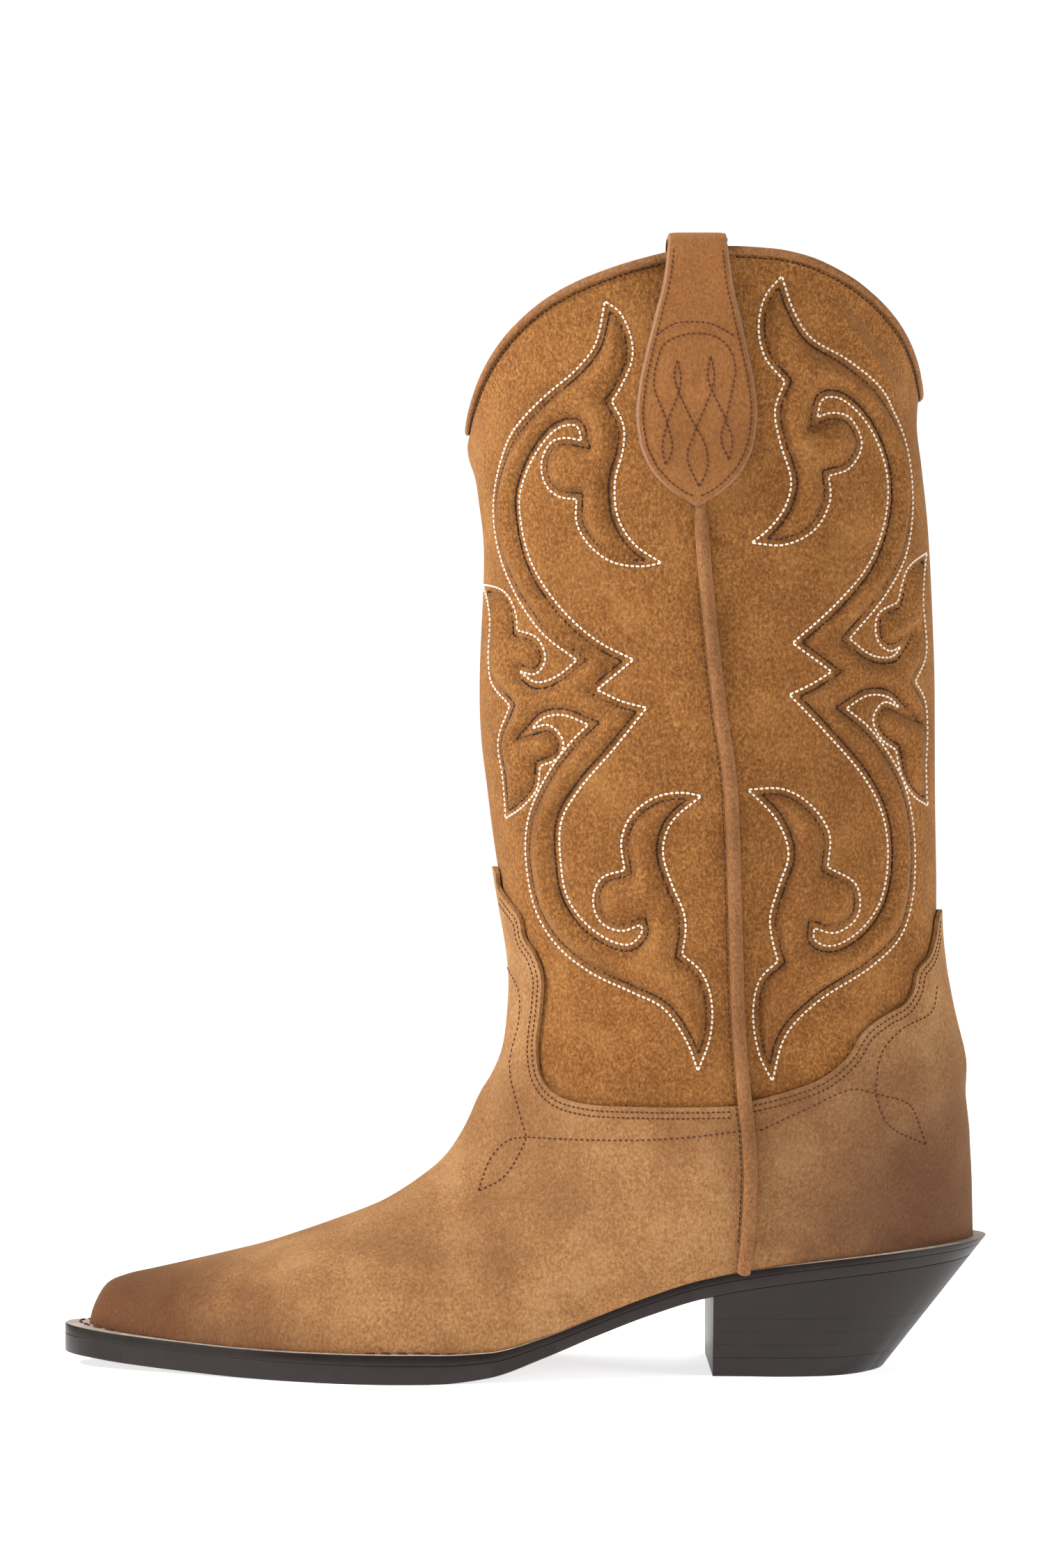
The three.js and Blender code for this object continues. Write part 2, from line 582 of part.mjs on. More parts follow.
// A point of a layer, raised by whatever lies under it.
function layerPoint(v, turn, side, depth, lift) {
  const flat = skin(v, turn, side, depth);
  const rise = lift(flat.x, flat.z);
  return rise ? skin(v, turn, side, depth - rise) : flat;
}

// The turn of a grid column: front columns run from the front centre to the seam, back columns from the
// seam to the back. All layers share their columns but for the edge along the seam.
function columnTurn(v, share, isFront, depth = 0, gap = SEAM_GAP) {
  const shift = isFront ? -gap / 2 : gap / 2;
  if (share === (isFront ? 1 : 0)) return seamTurn(v, shift, depth);
  const edge = seamTurn(v, isFront ? -SEAM_GAP / 2 : SEAM_GAP / 2, 0);
  return isFront ? edge * share : edge + (2 - edge) * share;
}

// The section at which a grid column meets the topline.
function toplineRow(share, isFront) {
  let low = 0;
  let high = DIP_ROW;
  for (let i = 0; i < 30; i += 1) {
    const v = (low + high) / 2;
    const p = skin(v, columnTurn(v, share, isFront), 1, 0);
    if (p.z > toplineAt(p.x)) low = v;
    else high = v;
  }
  return low;
}

// The section for a row of a panel that reaches up to the topline.
function fromTopline(row, share, isFront) {
  if (row >= DIP_ROW) return row;
  const start = toplineRow(share, isFront);
  return start + ((DIP_ROW - start) * row) / DIP_ROW;
}

// One side of the front or the back half of a layer. topped: it reaches up to the topline.
function panelGrid(rows, depth, side, isFront, { lift = noLift, gap = 2 * CLEAR, topped = false }) {
  const columns = isFront ? FRONT_COLUMNS : BACK_COLUMNS;
  return rows.map((row) =>
    steps(0, 1, columns).map((share) => {
      const v = topped ? fromTopline(row, share, isFront) : row;
      return layerPoint(v, columnTurn(v, share, isFront, depth, gap), side, depth, lift);
    }),
  );
}

// The front half of a layer, from one side seam round the front to the other.
function frontPanel(rows, outerDepth, innerDepth, options = {}) {
  const grid = (depth) => {
    const [outside, inside] = [-1, 1].map((side) => panelGrid(rows, depth, side, true, options));
    return outside.map((row, i) => [...[...row].reverse(), ...inside[i].slice(1)]);
  };
  return facingOut(sheet(grid(outerDepth), grid(innerDepth)));
}

// The back half of a layer, from one side seam round the back to the other. Below the heel's corner its
// sides end on the feather line, so the two sides are made apart and meet at the back.
function backPanel(rows, outerDepth, innerDepth, options = {}) {
  const half = (side) => {
    const grid = (depth) => panelGrid(rows, depth, side, false, options);
    return facingOut(sheet(grid(outerDepth), grid(innerDepth)));
  };
  return join(half(-1), half(1));
}

// A level band that follows the feather line between two distances from it.
function ribbon(places, outAt, inAt, lowAt, highAt) {
  const rings = places.map(([place, side]) => {
    const slit = place === TOE || place === 0 ? 0 : 0.4;
    const corner = (out, levelAt, least) => {
      const p = feather(place, out);
      const z = levelAt(p.x);
      const e = slanted(p, z);
      return new THREE.Vector3(e.x, centreAt(e.x) + side * Math.max(e.half, least), z);
    };
    const out = outAt(feather(place).x);
    return [
      corner(out, lowAt, 0),
      corner(out, highAt, 0),
      corner(inAt, highAt, slit),
      corner(inAt, lowAt, slit),
    ];
  });
  return bar(rings);
}

// Places along the feather line between two of them. All rows of places share the ones in between.
const placesBetween = (from, to) => [
  from,
  ...steps(0, TOE, TOE * PLACE_STEPS).filter((place) => place > from + 0.1 && place < to - 0.1),
  to,
];

// Places with a side each, round the toe or round the heel.
function placesRound(start, middle) {
  const half = start < middle ? placesBetween(start, middle) : placesBetween(middle, start).reverse();
  return [...half.map((p) => [p, -1]), ...half.slice(0, -1).reverse().map((p) => [p, 1])];
}

// The part of a layer that is turned in under the insole.
function turnedIn(places, outerDepth, innerDepth) {
  return ribbon(
    places,
    () => -outerDepth - (innerDepth - outerDepth) / 6,
    -MARGIN,
    (x) => seatAt(x) + outerDepth,
    (x) => seatAt(x) + innerDepth,
  );
}

const aboveLine = (line, up = 0) => sideBlock(spline(line.map(grade), 2).map(([x, z]) => [x, z + up]), 2 * TOPLINE_HEIGHT);
const belowLine = (line, up = 0) => sideBlock(spline(line.map(grade), 2).map(([x, z]) => [x, z + up]), -TOPLINE_HEIGHT);

// The row whose section ends at a place on the feather line.
function rowAt(place) {
  let low = 0;
  let high = LAST;
  for (let i = 0; i < 36; i += 1) {
    const middle = (low + high) / 2;
    if (backPlace(middle) < place) low = middle;
    else high = middle;
  }
  return (low + high) / 2;
}

// Front panels need fewer rows over the instep, where the sections lie close together, and more at the
// waist, where they fan out. Back panels need more rows where the sections turn round the heel.
const frontRows = (first, last) => [
  first,
  ...steps(0, LAST, 2 * LAST).filter((v) => {
    if (v <= first || v >= last - 0.1) return false;
    if (v > HEEL_ROW - 1 && v < WAIST_ROW) return v % 2 === 0;
    return Number.isInteger(v) || (v > WAIST_ROW && v < BALL_ROW);
  }),
  last,
];
const heelRows = (first) => [
  ...rowsBetween(first, HEEL_ROW - 1),
  ...steps(HEEL_ROW, rowAt(seamHeel), 2 * (WAIST_ROW - HEEL_ROW)),
];
const seamHeight = seatAt(gradeX(66));
const seamFoot = featherPlace(seamAt(seamHeight) - SEAM_GAP / 2);
const seamHeel = featherPlace(seamAt(seamHeight) + SEAM_GAP / 2);
const innerFoot = featherPlace(seamAt(seamHeight) - 2 * CLEAR);
const innerHeel = featherPlace(seamAt(seamHeight) + 2 * CLEAR);
const shaftRows = rowsBetween(0, SHAFT_FOOT_ROW);

function makeVamp() {
  const panel = frontPanel(frontRows(TONGUE_ROW, LAST), 0, LEATHER, { lift: frontLift, gap: SEAM_GAP });
  const margin = turnedIn(placesRound(seamFoot, TOE), 0, LEATHER);
  return join(keepInside(panel, belowLine(VAMP_EDGE)), margin);
}

function makeCounterCover() {
  const panel = backPanel(heelRows(TONGUE_ROW), 0, LEATHER, { lift: backLift, gap: SEAM_GAP });
  const margin = turnedIn(placesRound(seamHeel, 0), 0, LEATHER);
  return join(keepInside(panel, belowLine(COUNTER_EDGE)), margin);
}

function makeShaftPanel(isFront) {
  const make = isFront ? frontPanel : backPanel;
  const foot = isFront ? SHAFT_FRONT_FOOT : SHAFT_BACK_FOOT;
  return keepInside(make(shaftRows, 0, LEATHER, { topped: true, gap: SEAM_GAP }), aboveLine(foot));
}

function makeShaftPadding(isFront) {
  const make = isFront ? frontPanel : backPanel;
  const foot = isFront ? SHAFT_FRONT_FOOT : SHAFT_BACK_FOOT;
  const layer = make([PADDING_ROW, ...shaftRows.slice(1)], PADDING_DEPTH, PADDING_DEPTH + PADDING, { topped: true });
  return keepInside(layer, aboveLine(foot));
}

function makeShaftLining(isFront) {
  const make = isFront ? frontPanel : backPanel;
  const foot = isFront ? SHAFT_FRONT_FOOT : SHAFT_BACK_FOOT;
  const layer = make(shaftRows, LINING_DEPTH, WALL, { topped: true });
  return keepInside(layer, aboveLine(foot));
}

// A layer inside the front of the foot, from the shaft's foot line to a row towards the toe.
function makeFootLayer(outerDepth, innerDepth, lastRow) {
  const panel = frontPanel(frontRows(LINING_ROW, lastRow), outerDepth, innerDepth);
  const kept = keepInside(panel, belowLine(SHAFT_FRONT_FOOT, -CLEAR));
  if (lastRow === LAST) return join(kept, turnedIn(placesRound(innerFoot, TOE), outerDepth, innerDepth));
  const places = placesBetween(innerFoot, backPlace(lastRow));
  const margins = [-1, 1].map((side) => turnedIn(places.map((p) => [p, side]), outerDepth, innerDepth));
  return join(kept, ...margins);
}

function makeToeBox() {
  const panel = frontPanel(rowsBetween(TOE_BOX_ROW, LAST), PADDING_DEPTH, PADDING_DEPTH + PADDING);
  const margin = turnedIn(placesRound(backPlace(TOE_BOX_ROW), TOE), PADDING_DEPTH, PADDING_DEPTH + PADDING);
  return join(panel, margin);
}

// A layer inside the heel, from the shaft's foot line to the feather line.
function makeHeelLayer(outerDepth, innerDepth) {
  const panel = backPanel(heelRows(LINING_ROW), outerDepth, innerDepth);
  const margin = turnedIn(placesRound(innerHeel, 0), outerDepth, innerDepth);
  return join(keepInside(panel, belowLine(SHAFT_BACK_FOOT, -CLEAR)), margin);
}

// ---------------------------------------------------------------- trim of the upper

// The piping between the front and back of the boot: a rounded bead outside, and a flat tail that stands
// in the gap between the panels. Under the pull strap only the tail goes on.
function makeSideWelt(side) {
  const foot = seamHeight + WELT_WAIST + BEAD_HEIGHT;
  const top = toplineAt(gradeX(STRAP_X)) - BINDING_DEPTH - CLEAR;
  const strapFoot = gradeZ(STRAP_OUTLINE[0][0], STRAP_X);
  const coverEdge = gradeZ(VAMP_EDGE[VAMP_EDGE.length - 1][1], STRAP_X);
  const heights = [
    ...steps(foot, SEAM_BEND, 6),
    ...steps(SEAM_BEND, strapFoot - 4, 12).slice(1),
    ...steps(strapFoot - 1, top, 4),
  ];
  const rings = heights.map((z) => {
    const x = seamAt(z);
    const { at, normal } = wall(x, z, side);
    const along = wall(seamAt(z + 1), z + 1, side).at.sub(at).normalize();
    const across = along.clone().cross(normal).normalize();
    const bead = Math.max(1 - smooth(strapFoot - 4, strapFoot - 1, z), 0.06);
    const under = Math.max(frontLift(x, z), backLift(x, z)) * (1 - smooth(coverEdge + 4, coverEdge + 12, z));
    const base = (2.4 * CLEAR + under) * bead;
    const tail = SEAM_TAIL / 2;
    const half = tail + (BEAD_WIDTH / 2 - tail) * bead;
    const profile = [
      [-tail, -LEATHER + CLEAR],
      [tail, -LEATHER + CLEAR],
      [tail, base],
      [half, base],
      [half * 0.86, base + BEAD_HEIGHT * bead * 0.66],
      [half * 0.4, base + BEAD_HEIGHT * bead],
      [-half * 0.4, base + BEAD_HEIGHT * bead],
      [-half * 0.86, base + BEAD_HEIGHT * bead * 0.66],
      [-half, base],
      [-tail, base],
    ];
    return profile.map(([a, n]) => at.clone().addScaledVector(across, a).addScaledVector(normal, n));
  });
  return bar(rings);
}

// The leather folded over the top edge of the wall, from one side seam to the other.
function makeBinding(isFront) {
  const count = isFront ? FRONT_COLUMNS : BACK_COLUMNS;
  const shares = steps(0, 1, count).map((share) => (isFront ? 1 - share : share));
  const stations = [
    ...shares.map((share) => [share, -1]),
    ...shares.slice(0, -1).reverse().map((share) => [share, 1]),
  ];
  const place = ([share, side]) => {
    const v = toplineRow(share, isFront);
    const turn = columnTurn(v, share, isFront);
    const at = skin(v, turn, side, 0);
    const inner = skin(v, turn, side, WALL);
    const across = at.clone().sub(inner).setZ(0).normalize();
    return { at, across, thick: at.distanceTo(inner), rise: Math.max(inner.z - at.z, 0) };
  };
  const places = stations.map(place);
  const rings = places.map(({ at, across, thick, rise }, i) => {
    const before = places[Math.max(i - 1, 0)].at;
    const after = places[Math.min(i + 1, places.length - 1)].at;
    const up = across.clone().cross(after.clone().sub(before)).normalize();
    if (up.z < 0) up.negate();
    const near = 1.6 * CLEAR;
    const out = near + BINDING;
    const profile = [
      [near, -BINDING_DEPTH],
      [out, -BINDING_DEPTH],
      [out, BINDING * 0.4],
      [near, BINDING * 1.1],
      [-thick / 2, out + 0.15 + rise / 2],
      [-thick - near, BINDING * 1.1 + rise],
      [-thick - out, BINDING * 0.4 + rise],
      [-thick - out, rise - BINDING_DEPTH],
      [-thick - near, rise - BINDING_DEPTH],
      [-thick - near, near + rise],
      [near, near],
    ];
    return profile.map(([n, u]) => at.clone().addScaledVector(across, n).addScaledVector(up, u));
  });
  return bar(rings);
}

// A pull strap: sewn flat to the outside of the shaft, it stands off the wall as a loop, goes over the
// topline and is sewn down inside. Distances are outwards from the wall and up from the topline.
function makePullStrap(side) {
  const top = toplineAt(gradeX(STRAP_X));
  const flat = CLEAR + STRAP / 2;
  const inside = -WALL - 3 * CLEAR - STRAP / 2;
  const bind = inside - BINDING - 2 * CLEAR;
  const foot = gradeZ(STRAP_OUTLINE[0][0], STRAP_X) - top;
  const path = new THREE.CatmullRomCurve3(
    [
      [flat, foot],
      [flat, foot * 0.74],
      [flat, foot * 0.5],
      [flat + 0.3, -31],
      [flat + 1.6, -22],
      [STRAP_STANDOFF - 1.6, -13.5],
      [STRAP_STANDOFF, -6],
      [STRAP_STANDOFF - 1.4, 0.4],
      [STRAP_STANDOFF - 4.4, STRAP_RISE - 1.2],
      [-1.6, STRAP_RISE],
      [bind + 1.2, STRAP_RISE - 2.2],
      [bind, -2],
      [bind, -6],
      [inside - 0.3, -13],
      [inside - 0.1, -20],
      [inside - 0.1, -52],
    ].map(([n, up]) => new THREE.Vector3(n, top + up, 0)),
    false,
    "centripetal",
  );
  const widthAt = through(STRAP_OUTLINE.map(([z, half]) => [gradeZ(z, STRAP_X), half]));
  const insideWidth = through([[top - 52, 5], [top - 49, 9], [top - 40, 10.4], [top, widthAt(top)]]);
  const rings = steps(0, 1, 24).map((share) => {
    const p = path.getPoint(share);
    const t = path.getTangent(share);
    const half = p.x > 0 ? widthAt(p.y) : insideWidth(p.y);
    const edge = (off) =>
      steps(-1, 1, 4).map((across) => {
        const x = gradeX(STRAP_X) + across * half;
        const n = p.x + off * t.y;
        const z = p.y - off * t.x;
        const on = wall(x, Math.min(z, top - 1), side).at;
        return new THREE.Vector3(x, on.y + side * n, z);
      });
    return [...edge(STRAP / 2), ...edge(-STRAP / 2).reverse()];
  });
  return bar(rings);
}

// ---------------------------------------------------------------- bottom

const insoleLow = (x) => seatAt(x) + WALL + CLEAR;
const insoleHigh = (x) => insoleLow(x) + INSOLE;
const outsoleLow = (x) => treadAt(x);
const outsoleHigh = (x) => treadAt(x) + outsoleAt(x);

// A solid plate that follows the outline of the foot between two levels.
function plate(from, to, outAt, lowAt, highAt) {
  const rings = placesBetween(from, to).map((place) => {
    const p = feather(place, outAt(feather(place).x));
    const corner = (levelAt, side) => {
      const z = levelAt(p.x);
      const e = slanted(p, z);
      return new THREE.Vector3(e.x, centreAt(e.x) + side * e.half, z);
    };
    return [corner(lowAt, -1), corner(lowAt, 1), corner(highAt, 1), corner(highAt, -1)];
  });
  return bar(rings);
}

// The whole boot from the shaft down as one block, for trimming what fits round it. It reaches a little
// way below the feather line.
function bootBlock(depth) {
  const rows = [...heelRows(TONGUE_ROW), ...frontRows(WAIST_ROW, LAST).slice(1)];
  const rings = rows.map((v) => {
    const [left, right] = [-1, 1].map((side) => steps(0, 2, 16).map((turn) => skin(v, turn, side, depth)));
    const below = [left[16], right[16]].map((p) => p.clone().setZ(p.z - WELT));
    return [...left, ...below, ...right.slice(1).reverse()];
  });
  return bar(rings);
}

function makeWelt() {
  const start = featherPlace(heelFront - CLEAR);
  const strip = ribbon(placesRound(start, TOE), ledgeAt, -LEATHER, seatAt, (x) => seatAt(x) + weltAt(x));
  return subtract(strip, bootBlock(-2 * CLEAR));
}

function makeHeelRand() {
  const start = featherPlace(heelFront + CLEAR);
  const strip = ribbon(placesRound(start, 0), ledgeAt, -LEATHER, seatAt, (x) => seatAt(x) + weltAt(x));
  return subtract(strip, bootBlock(-2 * CLEAR));
}

const pin = (x, y, low, high, radius, sides) => {
  const cylinder = new THREE.CylinderGeometry(radius, radius, high - low, sides);
  return cylinder.rotateX(Math.PI / 2).translate(x, y, (low + high) / 2);
};
// Five heel nails round the seat, and four brads in the top piece: x, y.
const NAILS = [[72, -15], [72, 15], [90, -16.5], [90, 16.5], [106, 0]].map(([x, y]) => [gradeX(x), y]);
const BRADS = [[66, -17], [66, 17], [92, -15], [92, 15]].map(([x, y]) => [gradeX(x), y]);
const nailTop = ([x]) => insoleHigh(x) - 0.2;
const nailFoot = (spot) => nailTop(spot) - NAIL_LENGTH;
const nailHoles = NAILS.flatMap((spot) => [
  pin(...spot, nailFoot(spot) - NAIL_CLEAR, nailTop(spot) + 9, NAIL_RADIUS + NAIL_CLEAR, 8),
  pin(...spot, nailTop(spot) - NAIL_HEAD - NAIL_CLEAR, nailTop(spot) + 9, NAIL_HEAD_RADIUS + NAIL_CLEAR, 10),
]);
const bradHoles = BRADS.map((spot) =>
  pin(...spot, -9, BRAD_RECESS + BRAD_LENGTH + NAIL_CLEAR, BRAD_RADIUS + NAIL_CLEAR, 8),
);

function makeNail(spot) {
  const [low, high] = [nailFoot(spot), nailTop(spot)];
  const shaft = pin(...spot, low, high - NAIL_HEAD / 2, NAIL_RADIUS, 8);
  return join(shaft, pin(...spot, high - NAIL_HEAD, high, NAIL_HEAD_RADIUS, 10));
}

const makeBrad = (spot) => pin(...spot, BRAD_RECESS, BRAD_RECESS + BRAD_LENGTH, BRAD_RADIUS, 8);

const shankLow = (x) => insoleLow(x) - CLEAR - SHANK;
// The shank, or the recess for it when grown by a clearance.
function makeShank(grow) {
  const rings = steps(-SHANK_LENGTH / 2 - grow, SHANK_LENGTH / 2 + grow, 14).map((along) => {
    const x = gradeX(SHANK_X) + along;
    const half = SHANK_WIDTH / 2 + grow;
    const [y, low] = [centreAt(x), shankLow(x) - grow];
    const high = low + SHANK + 6 * grow;
    return [[-half, low], [half, low], [half, high], [-half, high]].map(([off, z]) => new THREE.Vector3(x, y + off, z));
  });
  return bar(rings);
}

function makeCork() {
  const inset = -MARGIN - 2 * CLEAR;
  const filler = plate(CORK_FROM, CORK_TO, () => inset, seatAt, (x) => insoleLow(x) - CLEAR);
  return subtract(filler, makeShank(NAIL_CLEAR), ...nailHoles);
}

function makeInsole() {
  const inset = -WALL - 3 * CLEAR;
  return subtract(plate(0, TOE, () => inset, insoleLow, insoleHigh), ...nailHoles);
}

function makeSock() {
  const inset = -WALL - 4 * CLEAR;
  return plate(0, TOE, () => inset, (x) => insoleHigh(x) + CLEAR, (x) => insoleHigh(x) + CLEAR + SOCK);
}

function makeOutsole() {
  return subtract(plate(0, TOE, ledgeAt, outsoleLow, outsoleHigh), ...nailHoles);
}

// One layer of the heel between two levels, with its nail holes.
function makeHeelLayerBelow(lowAt, highAt, ...holes) {
  return subtract(plate(0, featherPlace(heelFront), ledgeAt, lowAt, highAt), ...holes);
}

const liftThickness = (WEDGE_FOOT - TOP_PIECE) / LIFT_COUNT;
const liftLow = (k) => TOP_PIECE + k * liftThickness + CLEAR;

// ---------------------------------------------------------------- assembly

const SUEDE = { color: 0xae7a41, roughness: 0.95, metalness: 0 };
const DARK_SUEDE = { color: 0x8c6136, roughness: 0.9, metalness: 0 };
const PIGSKIN = { color: 0xcaa978, roughness: 0.7, metalness: 0 };
const FOAM = { color: 0xd8d2c4, roughness: 0.95, metalness: 0 };
const STIFFENER = { color: 0xb9a88c, roughness: 0.8, metalness: 0 };
const SOLE_EDGE = { color: 0x2a1a14, roughness: 0.35, metalness: 0 };
const WELT_TOP = { color: 0x8f7f6c, roughness: 0.6, metalness: 0 };
const BOARD = { color: 0xb08f66, roughness: 0.8, metalness: 0 };
const CORK = { color: 0x6f5136, roughness: 0.95, metalness: 0 };
const RUBBER = { color: 0x17110f, roughness: 0.6, metalness: 0 };
const STEEL = { color: 0x9a9a98, roughness: 0.35, metalness: 1 };
const BRASS = { color: 0xb08a4a, roughness: 0.3, metalness: 1 };

const root = new THREE.Group();
function add(name, geometry, look) {
  const mesh = new THREE.Mesh(geometry, new THREE.MeshStandardMaterial(look));
  mesh.name = name;
  root.add(mesh);
}

add("vamp", makeVamp(), SUEDE);
add("counter_cover", makeCounterCover(), SUEDE);
add("shaft_front", makeShaftPanel(true), SUEDE);
add("shaft_back", makeShaftPanel(false), SUEDE);
add("topline_binding_front", makeBinding(true), DARK_SUEDE);
add("topline_binding_back", makeBinding(false), DARK_SUEDE);
[[-1, "left"], [1, "right"]].forEach(([side, word]) => {
  add(`side_welt_${word}`, makeSideWelt(side), DARK_SUEDE);
  add(`pull_strap_${word}`, makePullStrap(side), SUEDE);
});

add("shaft_padding_front", makeShaftPadding(true), FOAM);
add("shaft_padding_back", makeShaftPadding(false), FOAM);
add("shaft_lining_front", makeShaftLining(true), PIGSKIN);
add("shaft_lining_back", makeShaftLining(false), PIGSKIN);
add("vamp_interlining", makeFootLayer(PADDING_DEPTH, PADDING_DEPTH + PADDING, TOE_BOX_ROW - 0.04), FOAM);
add("toe_box", makeToeBox(), STIFFENER);
add("heel_counter_stiffener", makeHeelLayer(PADDING_DEPTH + 0.25, LINING_DEPTH - 2 * CLEAR), STIFFENER);
add("vamp_lining", makeFootLayer(LINING_DEPTH, WALL, LAST), PIGSKIN);
add("counter_lining", makeHeelLayer(LINING_DEPTH, WALL), PIGSKIN);

add("insole", makeInsole(), BOARD);
add("sock_lining", makeSock(), PIGSKIN);
add("cork_filler", makeCork(), CORK);
add("shank", makeShank(0), STEEL);
add("welt", makeWelt(), WELT_TOP);
add("heel_rand", makeHeelRand(), WELT_TOP);
add("outsole", makeOutsole(), SOLE_EDGE);

add("heel_wedge", makeHeelLayerBelow(() => WEDGE_FOOT + CLEAR, (x) => outsoleLow(x) - CLEAR, ...nailHoles), SOLE_EDGE);
for (let k = 0; k < LIFT_COUNT; k += 1)
  add(
    `heel_lift_${k + 1}`,
    makeHeelLayerBelow(() => liftLow(k), () => liftLow(k) + liftThickness - CLEAR, ...nailHoles, ...bradHoles),
    SOLE_EDGE,
  );
add("heel_top_piece", makeHeelLayerBelow(() => 0, () => TOP_PIECE, ...bradHoles), RUBBER);
NAILS.forEach((spot, k) => add(`heel_nail_${k + 1}`, makeNail(spot), STEEL));
BRADS.forEach((spot, k) => add(`top_piece_nail_${k + 1}`, makeBrad(spot), BRASS));

export default root;
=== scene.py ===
# %% [markdown]
# # A cowboy boot in tan suede
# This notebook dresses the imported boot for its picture. The frame holds every piece of the boot as a
# plain solid. The inner pieces stay as they are and get a finish. The pieces that show are made again
# here, finer: leather panels with puffed stitching, piping, a rolled top edge, straps, welt and heel.
# Work is in millimetres on the boot's own surface and becomes metres when a mesh is filled.

# %% Load the frame
import math

import bmesh
import bpy
import numpy as np
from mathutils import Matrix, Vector
from mathutils.kdtree import KDTree


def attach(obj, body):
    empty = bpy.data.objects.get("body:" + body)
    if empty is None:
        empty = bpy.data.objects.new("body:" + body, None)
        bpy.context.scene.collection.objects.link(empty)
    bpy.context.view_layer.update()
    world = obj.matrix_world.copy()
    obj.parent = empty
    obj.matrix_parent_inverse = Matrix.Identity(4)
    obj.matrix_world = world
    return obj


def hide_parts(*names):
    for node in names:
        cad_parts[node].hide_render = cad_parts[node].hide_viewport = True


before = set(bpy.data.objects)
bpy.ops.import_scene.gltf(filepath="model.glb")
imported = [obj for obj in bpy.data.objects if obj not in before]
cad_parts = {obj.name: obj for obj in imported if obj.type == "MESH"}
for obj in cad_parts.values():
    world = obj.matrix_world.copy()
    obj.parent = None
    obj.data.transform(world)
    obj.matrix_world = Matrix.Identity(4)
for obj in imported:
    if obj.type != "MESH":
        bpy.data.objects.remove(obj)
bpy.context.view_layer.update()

MM = 0.001
bpy.ops.object.select_all(action="DESELECT")
print("nodes in the frame:", len(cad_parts))

# %% [markdown]
# ## The boot's surface
# A last, the wooden form a boot is pulled over, is drawn by its profiles and cross sections. The same
# drafts as in the model are used here, so a fine panel lies exactly where its plain solid does.

# %% Drafts of the last
LEATHER = 1.4
CLEAR = 0.3
WALL = 5.2
SEAM_GAP = 2.4
STRAP_X = 51.5
# x, z, back (height, or None and a place on the feather line), half width, widest share, roundness
SECTIONS = [
    (-20.3, 356, 356, 53.2, 0.5, 2.25, 2.25),
    (-19.6, 325, 325, 52.8, 0.5, 2.25, 2.25),
    (-17.9, 297, 297, 52, 0.5, 2.25, 2.25),
    (-14.8, 272, 272, 50.8, 0.5, 2.25, 2.25),
    (-12.9, 255, 255, 50.2, 0.5, 2.25, 2.25),
    (-14.3, 203, 205, 49, 0.5, 2.22, 2.22),
    (-11.6, 178, 182, 47.4, 0.5, 2.2, 2.2),
    (-8.6, 155, 160, 45, 0.5, 2.15, 2.2),
    (-3.7, 124, 122, 40.4, 0.5, 2.05, 2.2),
    (-3.9, 110.6, 105, 38.4, 0.51, 2, 2.2),
    (-5.7, 98, 88, 36.8, 0.53, 1.95, 2.2),
    (-9.3, 89.5, 71, 35.6, 0.55, 1.92, 2.15),
    (-12.8, 84.2, 55, 34.8, 0.57, 1.9, 2.2),
    (-15.6, 80.2, 45, 34.2, 0.59, 1.9, 2.25),
    (-17.6, 76.9, 0, 34, 0.61, 1.9, 2.25),
    (-19.4, 73.6, 0.7, 33.8, 0.63, 1.9, 1.85),
    (-21.2, 70.6, 1.6, 33.8, 0.65, 1.9, 1.65),
    (-23.2, 67.6, 2.6, 33.8, 0.67, 1.9, 1.55),
    (-25.6, 64.7, 3.7, 33.9, 0.69, 1.9, 1.65),
    (-28.6, 61.9, 4.9, 34.1, 0.71, 1.9, 1.7),
    (-32.5, 58.9, 6.2, 34.8, 0.73, 1.9, 1.65),
    (-38, 55.1, 7.6, 36, 0.74, 1.9, 1.8),
    (-44.5, 51.3, 8.9, 38.2, 0.75, 1.92, 2),
    (-52, 48.1, 10, 41, 0.76, 1.95, 2.2),
    (-60.5, 44.9, 11.2, 43, 0.76, 2, 2.2),
    (-70, 41.5, 12.4, 42.9, 0.76, 2.05, 2.2),
    (-81, 37.9, 13.6, 40, 0.75, 2.1, 2.2),
    (-93, 34.8, 14.8, 33.7, 0.74, 2.2, 2.2),
    (-105, 32, 15.9, 26.2, 0.73, 2.3, 2.2),
    (-116, 29.6, 17, 20.2, 0.72, 2.3, 2.2),
    (-125, 27.6, 17.9, 14.8, 0.71, 2.3, 2.2),
    (-130.8, 25, 18.7, 10.4, 0.7, 2.3, 2.2),
    (-134.4, 19.4, 19.3, 7, 0.7, 2.3, 2.2),
    (-136.1, 14, 19.75, 3.6, 0.7, 2.3, 2.2),
    (-136.4, 9.6, 20, 0, 0.7, 2.3, 2.2),
]

BACK = [
    (38, 139.8), (45, 139.7), (58, 139.5), (71, 138.8), (85, 137.3), (98, 135.4), (104, 133.9),
    (111, 132.2), (117, 131), (124, 129.8), (137, 128.5), (150, 128.2), (182, 127.7), (209, 127.6),
    (235, 126.8), (261, 125.4), (280, 123.4), (293, 122), (307, 123), (325, 124), (356, 125),
]

FEATHER = [
    (139.8, 0), (137, 10.5), (131, 19), (122, 25.2), (110, 29), (90, 30.5), (70, 29.5), (50, 28.5),
    (30, 29), (10, 32), (-10, 37.2), (-25, 40.4), (-40, 41.5), (-54, 40), (-70, 36), (-88, 29.4),
    (-105, 21.8), (-115, 17), (-126, 11.6), (-133, 7), (-136.4, 0),
]

